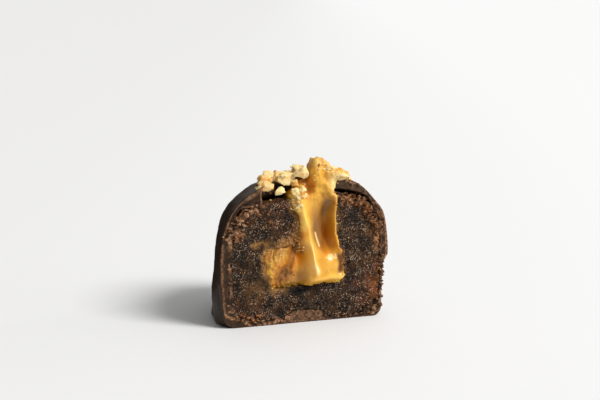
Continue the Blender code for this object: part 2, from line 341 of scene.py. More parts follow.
def flesh_offset(degrees, back):
    """How far the flesh lies outside its plain form: it dips under the thick wedge of chocolate."""
    middle, half_width, depth = WEDGE_DIP
    dip = depth * bell(degrees - middle, half_width) * ramp(back, 3.0, 0.5)
    low_top = 0.5 * ramp(degrees, 98.0, 103.0) + 0.4 * ramp(degrees, 108.0, 116.0)
    dip = np.maximum(dip, low_top * ramp(degrees, 126.0, 121.0) * ramp(back, 7.0, 4.0))
    sag = sum(drop * window(degrees, *arc) for drop, arc in BASE_SAGS)
    return ramp(back, 4.0, 1.0) * sag - dip


def flesh_side(angle, back, grow=0.0):
    offset = flesh_offset(np.degrees(angle), back) + grow
    return body_surface(FLESH, angle, np.clip(back / FLESH["length"], 0.0, ALMOST_TIP), offset)


def coat_side(angle, back):
    """The coat's outside, with the soft ripples and the uneven foot of a dipped piece."""
    middle, half_width, height = FULL_SHOULDER
    full = height * bell(np.degrees(angle) - middle, half_width) * ramp(back, 8.0, 2.0)
    spot = body_surface(COAT, angle, np.clip(back / COAT["length"], 0.0, TIP_SHARES[-1]), full)
    away = layers(spot, (0.22, 3.4, 1.0), (0.07, 1.3, 7.0), (0.03, 0.6, 2.0))
    drips = np.maximum(0.0, noise_at(spot * (1.0, 1.0, 0.2), 2.6, 4.0))
    away = (away + 0.5 * drips * ramp(spot[..., 2], 1.6, 0.3)) * ramp(back, 0.0, 1.5)
    spot[..., 0] += np.cos(angle) * away
    spot[..., 2] = np.maximum(spot[..., 2] + np.sin(angle) * away * (spot[..., 2] > 0.3), 0.0)
    return spot


def coat_gap(degrees, back):
    """Height of the air gaps between the coat and the flesh, near the cut."""
    middle, half_width, height, reach = CRACK
    gap = height * bell(degrees - middle, half_width, 4) * np.maximum(0.0, 1.0 - back / reach)
    for height, reach, arc in AIR_GAPS:
        gap += height * window(degrees, *arc) * np.maximum(0.0, 1.0 - (back / reach) ** 2)
    return gap


def lining(angle, back):
    """The coat's inside: it follows the flesh, and stands off it at an air gap."""
    side = flesh_side(angle, back)
    axis = np.stack([np.zeros(SIDES), side[:, 1], np.full(SIDES, WAIST)], axis=-1)
    length = np.linalg.norm(side - axis, axis=-1)
    return axis + (side - axis) * (1.0 + coat_gap(np.degrees(angle), back) / length)[:, None]


def coat_start(angle, through):
    """How far behind the cut the coat begins, at a share of the way in through its wall."""
    degrees = np.degrees(angle)
    middle, half_width, depth = BUTTER_NOTCH
    notch = depth * np.maximum(0.0, 1.0 - ((degrees - middle) / half_width) ** 2)
    edge, slant, depth = BROKEN_EDGE
    edge += slant * through
    broken = depth * window(degrees, 84.0, 95.0, edge - 2.5, edge)
    ragged = np.stack([degrees / 3.0, np.full(SIDES, through * 2.0), np.zeros(SIDES)], axis=-1)
    return np.maximum(notch, broken) * (1.0 + 0.3 * noise_at(ragged, 1.0, 5.3))


# Pale broken spots on the cut band: polar angle, half width, share of the way through the wall
TAN_CHIPS = ((194.0, 2.8, 0.75), (178.0, 4.0, 0.9), (160.0, 7.0, 0.75), (207.0, 1.5, 0.9))
# Upper edge of the dark foot at the cut's lower left corner
FOOT_LINE = (
    (-14.6, 4.6), (-14.0, 3.6), (-13.5, 2.4), (-13.1, 1.8), (-12.2, 1.5), (-11.0, 1.4), (-10.0, 0.8),
    (-9.0, 0.0),
)


def coat_rings(angle, steps):
    """Rings from deep inside the coat to the cut, over the cut band at these steps, and to the tip."""
    start = coat_start(angle, 1.0)
    shares = np.minimum(np.sin(np.linspace(0.0, math.pi / 2, LINING_STATIONS))[::-1], ALMOST_TIP)
    inside = [lining(angle, start + (FLESH["length"] - start) * share) for share in shares]
    cut_band = []
    for step in steps:
        back = coat_start(angle, step)
        outer = coat_side(angle, back)
        cut_band.append(outer + (lining(angle, back) - outer) * step)
    cut_band = np.array(cut_band)
    cut_band[..., 1] += layers(cut_band, (0.16, 1.1, 2.0), (0.12, 0.45, 4.0), (0.06, 0.2, 6.0)) + 0.05
    start = coat_start(angle, 0.0)
    shares = np.append(np.sin(np.linspace(0.0, math.pi / 2, COAT_STATIONS + 1))[:-1], TIP_SHARES)
    outside = [coat_side(angle, start + (HALF_LENGTH - start) * share) for share in shares]
    return np.concatenate([inside, cut_band, outside])


def coat_masks(rings, steps, degrees):
    """Where the coat is cut, and where the cut is pale: along its edges and at chips and torn spots."""
    first_shell = LINING_STATIONS + len(steps)
    through = np.zeros(rings.shape[:2])
    through[LINING_STATIONS:first_shell] = steps[:, None]
    on_band = through > 0
    patchy = noise_at(rings, 1.2, 6.1)
    dark = np.maximum(window(degrees, 82.0, 90.0, 106.0, 112.0), 0.7 * ramp(degrees, 36.0, 46.0))
    cut = np.zeros(rings.shape[:2])
    cut[:LINING_STATIONS] = 0.7 * (1.0 - window(degrees, 30.0, 40.0, 92.0, 100.0))
    cut[LINING_STATIONS:first_shell] = 1.0 - 0.85 * dark * ramp(degrees, 125.0, 118.0)

    broad, slab = ramp(patchy, -0.5, -0.2), window(degrees, *BASE_SLAB)
    inmost = ramp(through, 0.8, 0.95)
    outer_line = window(through, 0.0, 0.06, 0.14, 0.36) * broad
    inner_line = 0.9 * ramp(through, 0.62, 0.85) * ramp(patchy, 0.0, 0.25) * ramp(degrees, 100.0, 115.0)
    slab_face = ramp(noise_at(rings * (0.5, 1.0, 1.0), 0.4, 2.7), -0.5, 0.05) * slab * on_band
    edge = np.maximum.reduce([outer_line, inner_line, slab_face, 0.9 * inmost * slab * broad])
    off_break = BROKEN_EDGE[0] + BROKEN_EDGE[1] * through - degrees + 0.4
    broken_line = 0.6 * ramp(np.abs(off_break), 1.3, 0.5) * on_band
    torn = ramp(degrees, 56.0, 44.0) + ramp(degrees, 330.0, 345.0)
    torn += 0.5 * window(degrees, 44.0, 56.0, 85.0, 95.0)
    torn = 0.28 * torn * ramp(noise_at(rings, 0.7, 9.1), -0.1, 0.15) * on_band
    thin_line = 0.5 * inmost * ramp(degrees, 48.0, 40.0) * ramp(patchy, -0.4, -0.1)
    edge = np.maximum.reduce([edge * (1.0 - 0.8 * dark), broken_line, torn, thin_line])
    edge[first_shell] = 0.7 * (1.0 - dark)
    fine = noise_at(rings, 0.5, 1.9)
    for middle, half_width, depth in TAN_CHIPS:
        chip = ramp(np.abs(degrees - middle) + 4.0 * patchy, half_width, half_width * 0.3)
        chip = chip * ramp(np.abs(through - depth) + 0.6 * fine, 0.35, 0.05) * on_band
        edge = np.maximum(edge, 0.85 * chip)

    x, z = rings[..., 0], rings[..., 2]
    above_foot = z - np.interp(x, *zip(*FOOT_LINE)) + 0.15 * patchy
    foot_edge = np.maximum(edge * ramp(above_foot, -0.2, 0.0), ramp(np.abs(above_foot), 0.35, 0.15))
    at_foot = on_band & (x < FOOT_LINE[-1][0])
    edge = np.where(at_foot, foot_edge, edge)
    return np.where(at_foot, cut * ramp(above_foot, -0.5, 0.0), cut), edge


def chocolate_coat():
    angle = np.radians(np.arange(SIDES) * 360.0 / SIDES)
    steps = np.linspace(0.0, 1.0, BAND_STEPS + 1)[-2:0:-1]
    rings = coat_rings(angle, steps)
    ends = [(0.0, CUT_Y + length, WAIST) for length in (FLESH["length"], HALF_LENGTH)]
    made = tube("chocolate_coat_visual", rings, *ends)
    cut, edge = coat_masks(rings, steps, np.degrees(angle))
    set_masks(made, cut=np.pad(cut.ravel(), 1), edge=np.pad(edge.ravel(), 1))
    return made


# Peanut butter

def outline_loop(count):
    """Closed Catmull-Rom curve through the outline, with this many points equally far apart."""
    points = np.array(BUTTER_OUTLINE)
    t = np.linspace(0.0, 1.0, 24, endpoint=False)[:, None]
    curve = []
    for i in range(len(points)):
        p0, p1, p2, p3 = (points[(i + k) % len(points)] for k in (-1, 0, 1, 2))
        curve.append(
            0.5 * (2 * p1 + (p2 - p0) * t + (2 * p0 - 5 * p1 + 4 * p2 - p3) * t**2
                   + (3 * p1 - p0 - 3 * p2 + p3) * t**3)
        )
    curve = np.vstack(curve)
    closed = np.vstack([curve, curve[:1]])
    length = np.concatenate([[0.0], np.cumsum(np.linalg.norm(np.diff(closed, axis=0), axis=1))])
    wanted = np.linspace(0.0, length[-1], count, endpoint=False)
    return np.stack([np.interp(wanted, length, closed[:, k]) for k in (0, 1)], axis=-1)


def butter_ring(loop, back):
    """The outline at a distance behind the cut: it shrinks to the back, and the peak sinks under the coat."""
    share = min(back / BUTTER_LENGTH, 0.9995)
    size = quarter(share, BUTTER_ROUNDNESS)
    sunk = min(1.0, (back / PEAK_LENGTH) ** 2)
    x, z = loop[:, 0], loop[:, 1]
    above = np.maximum(0.0, z - NECK_HEIGHT)
    z = z - above * sunk * (1.0 - (BURIED_TOP - NECK_HEIGHT) / (PEAK_HEIGHT - NECK_HEIGHT))
    x = x + (NECK_X - x) * sunk * NECK_PULL * np.minimum(1.0, above / 3.0)
    ring = np.array(BUTTER_AXIS) + (np.stack([x, z], axis=-1) - BUTTER_AXIS) * size
    return np.stack([ring[:, 0], np.full(len(ring), CUT_Y + back), ring[:, 1]], axis=-1)


# Lines on the face of the peanut butter
STRAND = (
    (-0.9, 19.4), (-0.4, 17.0), (0.3, 15.1), (0.4, 13.7), (0.45, 12.7), (0.7, 11.3), (0.85, 9.8),
    (1.2, 7.9),
)
STRAND_LEFT = ((-1.5, 18.6), (-1.0, 17.0), (-0.5, 15.1), (-0.35, 13.7), (-0.2, 12.9))
THREAD = ((1.5, 14.3), (1.75, 13.2), (2.05, 12.2))
RIGHT_WALL_RIDGE = ((4.9, 20.0), (5.0, 17.0), (4.9, 14.6), (5.2, 12.4), (5.9, 11.4))
LOWER_ROLL = ((-5.6, 6.4), (-2.8, 6.3), (0.4, 6.6), (3.7, 7.3), (6.0, 6.9))
LEFT_VALLEY = ((-2.2, 13.0), (-1.9, 11.8), (-2.4, 10.1), (-3.0, 9.0), (-3.8, 7.8), (-4.6, 6.8))
LEFT_RIDGE = ((-1.7, 10.4), (-2.0, 9.2), (-2.6, 8.2), (-3.5, 7.2))
GLINT = ((0.7, 12.6), (0.8, 11.4), (0.9, 10.2), (1.05, 9.2), (1.45, 8.3))
FOLD = ((3.7, 18.8), (3.2, 17.5), (2.6, 16.1), (2.2, 14.8))
LIP = ((-5.5, 5.8), (-2.8, 5.6), (2.0, 6.0), (6.3, 6.2))
PEAK_SHADE = ((-0.2, 23.4), (0.3, 22.7), (0.5, 22.0), (0.5, 21.0))
TOP_LIGHT = ((1.4, 25.4), (2.4, 25.5), (3.9, 24.4), (4.6, 23.3), (4.6, 21.8), (4.9, 20.4))
TOP_LEFT_LIGHT = ((0.7, 24.0), (1.0, 24.9), (1.6, 25.7))
LEFT_TOP = ((-7.0, 10.9), (-5.0, 12.3), (-2.4, 13.2), (-0.8, 14.2))

# Its relief and its colours, which are mostly painted light and shade. Lines: height, half width, path.
# Humps: height, x, z, half width, half height
RAISED_LINES = (
    (0.38, 0.40, STRAND), (0.35, 1.0, STRAND), (0.4, 0.8, STRAND_LEFT), (0.1, 0.18, THREAD),
    (0.8, 0.4, RIGHT_WALL_RIDGE), (0.25, 0.5, LOWER_ROLL), (0.2, 0.35, LEFT_RIDGE), (0.16, 0.2, GLINT),
)
RAISED_HUMPS = (
    (0.2, 4.2, 9.3, 1.5, 1.7), (0.5, 4.6, 23.6, 1.0, 0.6), (0.55, -4.8, 10.3, 1.8, 1.8),
    (0.4, -5.0, 6.6, 1.0, 0.6), (0.8, 1.6, 23.6, 1.5, 2.2), (0.5, 5.9, 23.3, 1.1, 0.8),
    (0.5, -1.4, 20.2, 1.0, 1.3), (0.5, 4.2, 21.6, 0.9, 1.3),
)
SUNKEN_LINES = ((0.8, 0.8, LEFT_VALLEY), (0.8, 0.6, PEAK_SHADE))
SUNKEN_HUMPS = (
    (2.4, 3.9, 13.9, 0.9, 2.8), (1.0, 3.3, 17.2, 1.1, 2.0), (0.5, -1.2, 7.6, 1.3, 0.9),
    (0.5, -1.3, 11.4, 0.8, 1.4),
)
# Deep orange: painted shade in the recess, the left valley, beside the peak and under the left overhang, over
# the butter's own deeper orange in the recess
ORANGE_AND_SHADE_LINES = ((1.0, 0.7, LEFT_VALLEY), (1.3, 0.8, PEAK_SHADE), (0.9, 0.9, LEFT_TOP))
ORANGE_AND_SHADE_HUMPS = (
    (1.3, 3.6, 13.6, 1.0, 2.7), (0.6, -1.0, 11.6, 0.9, 1.8), (0.3, 3.2, 23.4, 0.6, 0.9),
    (0.8, -3.8, 8.8, 1.4, 1.2), (0.6, -0.8, 10.2, 1.3, 2.2), (0.45, -2.8, 7.5, 2.0, 1.2),
    (0.9, 2.9, 12.7, 0.8, 1.5), (0.5, 3.4, 12.0, 1.1, 0.9),
)
# Mauve-brown: painted shade in the fold, beside the recess, in the left valley and dent, beside the peak,
# under the left overhang and under the lower lip
MAUVE_SHADE_LINES = (
    (0.35, 0.7, FOLD), (0.75, 1.5, FOLD), (0.6, 0.7, LEFT_VALLEY), (0.3, 0.5, PEAK_SHADE),
    (0.5, 1.3, LEFT_TOP[:3]),
)
MAUVE_SHADE_HUMPS = (
    (0.5, -2.0, 6.9, 2.6, 1.1), (0.4, -3.9, 8.6, 1.2, 1.0), (0.5, 2.5, 13.2, 0.9, 1.3),
    (0.7, 3.0, 12.2, 1.0, 1.0), (0.3, 1.5, 13.3, 0.5, 0.9), (0.4, 1.5, 16.4, 0.7, 3.2),
    (0.3, -4.1, 11.2, 1.2, 0.9), (0.25, -2.7, 7.3, 0.8, 0.9),
)
# Pale: painted light on the strand and its left flank, the right wall's ridge, the peak's lit edges, the pool
# and the lower left, over some paler butter
PALE_AND_LIGHT_LINES = (
    (0.5, 0.7, STRAND_LEFT), (0.2, 0.35, RIGHT_WALL_RIDGE), (0.9, 0.75, TOP_LIGHT[2:]),
    (0.6, 0.35, TOP_LEFT_LIGHT),
)
PALE_AND_LIGHT_HUMPS = (
    (0.5, 4.4, 9.2, 1.6, 1.1), (0.6, -1.7, 19.4, 0.9, 1.2), (0.2, -4.4, 10.2, 0.8, 1.0),
    (0.9, -0.7, 15.0, 0.6, 1.8), (0.4, 0.2, 10.4, 0.5, 2.4), (0.7, -4.4, 6.4, 1.2, 0.6),
)
# Brown: painted shade in dents on the left
BROWN_SHADE_HUMPS = ((0.45, -3.8, 8.4, 0.8, 0.8), (0.3, -2.6, 11.3, 0.8, 0.8))
# Painted highlights along the strand's foot, the thread and the peak's lit edges
GLINT_LINES = (
    (1.0, 0.38, GLINT[3:]), (1.0, 0.12, THREAD), (0.3, 0.45, TOP_LIGHT), (0.7, 0.7, TOP_LIGHT[3:5]),
)
# Painted highlights on the pool: x, z, half width, half height
POOL_GLINTS = ((4.05, 10.35, 1.05, 0.55), (5.2, 7.6, 0.55, 0.25))
# Dark specks: x, z, size
SPECKS = ((-2.26, 7.96, 0.4), (-3.2, 8.6, 0.25))
BUTTER_EDGE = 0.3
BUTTER_EDGE_WIDTH = 0.55
ROOM_FRONT = 3.0


def butter_relief(x, z):
    """How far the peanut butter's face lies behind the cut plane."""
    raised = marks(x, z, RAISED_LINES, RAISED_HUMPS)
    raised += 1.2 * ramp(z, 15.0, 8.0) * window(x, -1.5, 0.5, 5.4, 6.6)
    left = ramp(x, 1.0, -1.0)
    above_lip = z - np.interp(x, *zip(*LIP))
    sunken = (0.6 + 0.5 * left) * ramp(above_lip, 1.0 + 0.8 * left, 0.0)
    sunken += marks(x, z, SUNKEN_LINES, SUNKEN_HUMPS)
    return sunken - raised


def inner_points(loop, step):
    """Points inside the loop on a triangular grid."""
    low, high = loop.min(axis=0), loop.max(axis=0)
    points = []
    for i, z in enumerate(np.arange(low[1] + step / 2, high[1], step * 0.87)):
        xs = np.arange(low[0] + step / 2 * (1 + i % 2), high[0], step)
        points.append(np.stack([xs, np.full(len(xs), z)], axis=-1))
    points = np.vstack(points)
    a, b = loop, np.roll(loop, -1, axis=0)
    px, pz = points[:, :1], points[:, 1:]
    crosses = (a[:, 1] > pz) != (b[:, 1] > pz)
    run = np.where(b[:, 1] == a[:, 1], 1e-9, b[:, 1] - a[:, 1])
    left = px < (b[:, 0] - a[:, 0]) * (pz - a[:, 1]) / run + a[:, 0]
    inside = (crosses & left).sum(axis=1) % 2 == 1
    return points[inside & (loop_distance(*points.T, loop) > step * 0.6)]


def roughen_rim(loop, rings, backs):
    """Gives the butter's rings a ragged side, and moves their front to the face. Returns the new rim."""
    away = loop - BUTTER_AXIS
    away /= np.linalg.norm(away, axis=-1, keepdims=True)
    away *= 1.0 - 0.5 * (ramp(loop[:, 0], -3.0, -1.0) * ramp(loop[:, 1], 9.0, 7.5))[:, None]
    wobble = layers(rings, (0.45, 1.1, 0.0), (0.3, 0.45, 2.0))
    wobble += 0.15 * noise_at(rings, 0.22, 3.0) * ramp(backs, 1.0, 0.0)[:, None]
    rings[..., 0] += away[:, 0] * wobble
    rings[..., 2] += away[:, 1] * wobble
    rim = rings[0][:, (0, 2)]
    fade = np.maximum(0.0, 1.0 - backs / 4.0)[:, None]
    rings[..., 1] += (butter_relief(*rim.T) + BUTTER_EDGE) * fade
    return rim


def butter_solid(name, sides, stations, step, detailed):
    """Closed body of the peanut butter. The detailed one has the face's relief and a rounded rim."""
    loop = outline_loop(sides)
    backs = BUTTER_LENGTH * np.sin(np.linspace(0.0, math.pi / 2, stations + 1))[:-1] ** 1.6
    rings = np.array([butter_ring(loop, back) for back in backs])
    if detailed:
        loop = roughen_rim(loop, rings, backs)
    else:
        rings[0, :, 1] -= ROOM_FRONT
    here = np.arange(stations * sides).reshape(stations, sides)
    tip = here.size
    faces = ring_faces(here) + fan(here[-1], tip)
    flat = [Vector(spot) for spot in np.vstack([loop, inner_points(loop, step)]).tolist()]
    spots, _, triangles, origins, _, _ = delaunay_2d_cdt(flat, [], [list(range(sides))], 1, 1e-6)
    face_points, corner = [], []
    for spot, origin in zip(spots, origins):
        if origin and origin[0] < sides:
            corner.append(origin[0])
        else:
            corner.append(tip + 1 + len(face_points))
            face_points.append((spot.x, CUT_Y - ROOM_FRONT, spot.y))
    faces += [tuple(corner[i] for i in triangle) for triangle in triangles]
    face_points = np.array(face_points)
    if detailed:
        x, z = face_points[:, 0], face_points[:, 2]
        near_rim = 1.0 - np.clip(loop_distance(x, z, loop) / BUTTER_EDGE_WIDTH, 0.0, 1.0)
        face_points[:, 1] = CUT_Y + butter_relief(x, z) + BUTTER_EDGE * near_rim**2
    tip_point = [[BUTTER_AXIS[0], CUT_Y + BUTTER_LENGTH, BUTTER_AXIS[1]]]
    points = np.vstack([rings.reshape(-1, 3), tip_point, face_points])
    return face_outwards(make_object(name, points, faces))


def butter_masks(made, x, z, back, crumbly, streaky, streaks):
    """Where the butter is crumbly, speckled or matte, and where light and shade are painted on it: deep
    orange and mauve for shade in its fold, valleys and under its lip, brown for shade at its right rim and
    dents, pale for light on its strands, ridges and peak over some paler butter, and glint for highlights.
    """
    points = points_of(made)
    near = ramp(back, 7.0, 4.0)
    cloud, patchy = noise_at(points, 1.3, 5.5), noise_at(points, 0.35, 8.8)
    # Painted shade in deep orange, also in the grooves between the streaks
    deep = marks(x, z, ORANGE_AND_SHADE_LINES, ORANGE_AND_SHADE_HUMPS) + 0.5 * streaky * ramp(streaks, 0.0, -0.4)
    # Painted shade where the butter's side lies in the gap behind the cut at the upper left
    deep += 0.9 * ramp(x, -1.2, -2.0) * ramp(z, 17.0, 18.5) * ramp(back, 0.5, 1.0)
    # Painted shade in mauve-brown, with extra patches low on the left
    mauve = marks(x, z, MAUVE_SHADE_LINES, MAUVE_SHADE_HUMPS)
    mauve += 0.4 * hump(x, z, -2.4, 7.6, 1.8, 1.0) * ramp(cloud, -0.4, 0.2)
    # Paler butter and painted light, also on the lower roll, the strand and the ridges of the streaks
    pale = marks(x, z, PALE_AND_LIGHT_LINES, PALE_AND_LIGHT_HUMPS) + 0.5 * band(x, z, LOWER_ROLL, 0.4) * ramp(x, 0.0, 2.0)
    pale += 0.6 * band(x, z, STRAND, 0.65) * ramp(z, 20.5, 18.0)
    pale += 0.4 * streaky * ramp(streaks, 0.1, 0.4) * window(z, 8.0, 9.5, 10.8, 12.0)
    # Painted shade along the right rim, where the butter turns away into the flesh; it is also made rougher
    # there
    rim = ramp(x + 0.2 * cloud, 4.75, 5.3) * window(z, 7.4, 8.3, 10.4, 11.4)
    brown = rim + marks(x, z, (), BROWN_SHADE_HUMPS)
    matte = np.maximum(ramp(x, -0.8, -2.0) * (1.0 - crumbly), rim)
    # Painted highlights
    glint = band(x, z, GLINT, 0.13) * ramp(z, 7.6, 8.4) + marks(x, z, GLINT_LINES, ())
    for place in POOL_GLINTS:
        glint = np.maximum(glint, ramp(hump(x, z, *place) + 0.5 * patchy, 0.5, 0.7))
    speck = np.zeros(len(points))
    for middle_x, middle_z, size in SPECKS:
        away = np.hypot(x - middle_x, z - middle_z) + 0.5 * size * noise_at(points, 0.25, 1.1)
        speck = np.maximum(speck, ramp(away, size, size * 0.5))
    set_masks(made, crumbly=crumbly, deep=near * deep, mauve=near * mauve, pale=near * pale)
    set_masks(made, speck=near * speck, brown=near * brown, glint=near * glint, matte=near * matte)


def peanut_butter():
    made = butter_solid("peanut_butter_visual", BUTTER_SIDES, BUTTER_STATIONS, BUTTER_STEP, True)
    points = points_of(made)
    x, back, z = points[:, 0], points[:, 1] - CUT_Y, points[:, 2]
    crumbly = ramp(z, 17.5, 20.5)
    rough = layers(points, (0.38, 1.5, 3.1), (0.16, 0.6, 7.7), (0.06, 0.3, 1.7))
    rough += 0.45 * noise_at(points, 3.0, 5.1) * ramp(back, 0.5, 3.0)
    streaky = ramp(x, -1.6, -3.0) * (1.0 - crumbly)
    streaks = noise_at(points * (1.0, 1.0, 0.4), 0.45, 2.9)
    streaks += 0.5 * noise_at(points * (1.0, 1.0, 0.5), 0.22, 2.9)
    smooth = layers(points, (0.08, 1.6, 9.2), (0.03, 0.5, 1.2))
    glitter = 0.05 * noise_at(points, 0.5, 6.6) * hump(x, z, 4.4, 10.2, 1.1, 0.9)
    grainy = 0.07 * noise_at(points, 0.3, 4.6) * streaky * ramp(z, 8.0, 9.5)
    moved = rough * crumbly + smooth + 0.2 * streaks * streaky + glitter + grainy
    set_points(made, points + normals_of(made) * moved[:, None])
    butter_masks(made, x, z, back, crumbly, streaky, streaks)
    return made


# Date flesh

SKIN_LEFT = ((-12.3, 15.0), (-12.0, 17.0), (-10.6, 18.3), (-8.6, 18.9), (-7.2, 19.0))
SKIN_RIGHT = ((5.2, 20.3), (8.0, 19.8), (9.9, 18.6), (11.3, 16.8), (12.3, 14.6), (12.8, 12.0))
SMEAR = ((-9.0, 12.9), (-7.9, 13.2), (-6.6, 12.9), (-6.4, 12.0))
RED_HUMPS = (
    (1.0, 11.0, 5.0, 3.0, 3.6), (0.5, -9.5, 2.5, 3.0, 1.5), (0.5, 6.0, 18.5, 2.0, 1.5),
    (0.8, -2.0, 14.2, 1.0, 1.6), (0.7, -4.6, 18.8, 2.4, 1.2), (0.4, -5.5, 15.5, 1.6, 1.4),
)
AMBER_HUMPS = ((1.0, 12.3, 4.6, 1.3, 1.6), (0.5, 12.4, 8.0, 0.8, 1.6))
# Darker flesh towards the left and low in the middle, and painted shadow in a strip under the butter's lower
# lip: weight, x, z, half width, half height
DARK_HUMPS = ((0.22, -9.0, 9.5, 3.5, 6.0), (0.12, 0.0, 3.0, 5.0, 2.0), (0.5, -0.8, 5.2, 2.6, 0.5))
RIM_STEP = 0.5
ROOM_SHRINK = 0.06


def flesh_relief(x, z):
    """Crags and grain of the flesh's cut face."""
    spots = np.stack([x, np.full_like(x, 3.7), z], axis=-1)
    return layers(spots, (0.35, 1.6, 0.0), (0.16, 0.75, 1.3), (0.12, 0.38, 2.6), (0.07, 0.2, 5.2))


def flesh_rings():
    """Rings from the middle of the cut face to its ragged rim, then along the sides."""
    angle = np.radians(np.arange(SIDES) * 360.0 / SIDES)
    degrees = np.degrees(angle)
    jagged = np.stack([8.0 * np.cos(angle), 8.0 * np.sin(angle), np.zeros(SIDES)], axis=-1)
    jag = 0.12 + layers(jagged, (0.5, 0.7, 3.0), (0.25, 0.3, 1.0))
    jag += RIM_STEP * (ramp(degrees, 3.0, -1.0) - ramp(degrees, 328.0, 322.0) * (degrees > 322.0))
    rim = flesh_side(angle, np.zeros(SIDES), jag)
    rings = []
    for share in np.linspace(0.004, 1.0, FACE_RINGS, endpoint=False):
        x = rim[:, 0] * share
        z = WAIST + (rim[:, 2] - WAIST) * share
        edge = 0.25 * np.clip((share - 0.975) / 0.025, 0.0, 1.0) ** 2
        rings.append(np.stack([x, CUT_Y + flesh_relief(x, z) + edge, z], axis=-1))
    sides = []
    for share in np.linspace(0.0, 1.0, FLESH_STATIONS + 1)[:-1]:
        back = FLESH["length"] * np.sin(share * math.pi / 2) ** 1.5
        sides.append(flesh_side(angle, np.full(SIDES, back), jag * max(0.0, 1.0 - back / 0.8)))
    sides = np.array(sides)
    grain = layers(sides, (0.22, 0.8, 8.1), (0.12, 0.35, 3.3))
    sides[..., 0] -= grain * np.cos(angle)
    sides[..., 2] -= np.abs(grain) * np.sin(angle)
    sides[0, :, 1] += flesh_relief(rim[:, 0], rim[:, 2]) * 0.5 + 0.3
    return np.concatenate([rings, sides])


def cut_room(made):
    """Cuts out the room that the peanut butter fills."""
    room = butter_solid("butter_room", ROOM_SIDES, ROOM_STATIONS, ROOM_STEP, False)
    set_points(room, points_of(room) - ROOM_SHRINK * normals_of(room))
    cut = made.modifiers.new("butter_room", "BOOLEAN")
    cut.operation = "DIFFERENCE"
    cut.solver = "MANIFOLD"
    cut.object = room
    graph = bpy.context.evaluated_depsgraph_get()
    made.data = bpy.data.meshes.new_from_object(made.evaluated_get(graph))
    made.modifiers.clear()
    bpy.data.objects.remove(room)


def date_flesh():
    ends = [(0.0, CUT_Y + length, WAIST) for length in (0.0, FLESH["length"])]
    made = tube("date_flesh_visual", flesh_rings(), *ends)
    cut_room(made)
    points = points_of(made)
    x, back, z = points[:, 0], points[:, 1] - CUT_Y, points[:, 2]
    near = ramp(back, 3.0, 1.0)
    wobble, patchy = 1.6 * noise_at(points, 1.8, 4.4), noise_at(points, 1.3, 2.2)
    skin_left = ramp(path_distance(x, z, SKIN_LEFT) + wobble, 1.5, 0.5)
    skin_right = ramp(path_distance(x, z, SKIN_RIGHT) + 0.7 * wobble, 1.5, 0.6)
    skin = np.maximum(skin_left, skin_right) * near
    red = marks(x, z, (), RED_HUMPS) * ramp(patchy, -0.5, 0.3) * 1.2
    amber = marks(x, z, (), AMBER_HUMPS) * ramp(noise_at(points, 0.7, 4.0), -0.4, 0.2) * 1.3
    # Darker in random patches, towards the left and low in the middle, with painted shadow under the butter's
    # lower lip
    dark = marks(x, z, (), DARK_HUMPS) + 0.5 * ramp(noise_at(points, 2.4, 7.3), 0.05, 0.45)
    left = ramp(x, 3.0, -1.0)
    above = 1.0 - ramp(x, -3.8, -2.8) * ramp(z, 6.4, 5.8)
    from_butter = loop_distance(x, z, outline_loop(90)) + wobble * 0.4
    smear = 0.7 * ramp(path_distance(x, z, SMEAR) + wobble * 0.5, 0.9, 0.2)
    smear += above * (0.35 + 0.45 * left) * ramp(from_butter, 0.5 + 0.6 * left, 0.0)
    smear += 0.3 * hump(x, z, -8.4, 5.4, 1.8, 2.0) * ramp(patchy, -0.4, 0.3)
    smear += 0.5 * hump(x, z, -3.6, 13.2, 2.8, 0.8) * ramp(patchy, -0.5, 0.2)
    smear += 0.6 * hump(x, z, -1.7, 13.6, 0.9, 1.6) * ramp(wobble, -0.6, 0.4)
    set_masks(made, skin=np.maximum(skin, 0.5 * ramp(back, 0.3, 1.0)), red=red * near)
    set_masks(made, amber=amber * near, smear=smear * near, dark=dark * near)
    return made


# Chopped peanuts

def coat_top(x, back):
    """Point on the upper side of the coat at x and a distance behind the cut."""
    low, high = 0.0, math.pi
    for _ in range(30):
        angle = (low + high) / 2
        spot = body_surface(COAT, angle, back / HALF_LENGTH)
        if spot[0] > x:
            low = angle
        else:
            high = angle
    return Vector(spot)


def nut_places(rng):
    """Centres and half sizes of the large nuts, and of those that the seeded scatter puts on the coat."""
    made = []
    for (x, back, lift), half_sizes in LARGE_NUTS:
        made.append((coat_top(x, back) + Vector((0.0, 0.0, lift)), half_sizes))
    placed = [centre for centre, _ in made]
    large = len(made)
    tries = 0
    while len(made) < large + NUT_COUNT and tries < 4000:
        tries += 1
        share = rng.uniform(0.06, 0.93)
        angle = math.pi / 2 + rng.uniform(-1.0, 1.0) * math.radians(44)
        size = rng.uniform(*NUT_SIZES)
        flat = rng.uniform(0.55, 0.9)
        spot = Vector(body_surface(COAT, angle, share))
        over_butter = -3.2 < spot.x < 8.2 and share * HALF_LENGTH < PEAK_LENGTH + 1.2
        crowded = any((spot - other).length < NUT_SPACING for other in placed)
        in_band = NUT_BAND[0] + NUT_DRIFT * spot.y < spot.x < NUT_BAND[1]
        if over_butter or crowded or not in_band:
            continue
        placed.append(spot)
        lifted = spot + Vector((0.0, 0.0, NUT_LIFT))
        made.append((lifted, (size, size * rng.uniform(0.6, 1.0), size * flat)))
    return made


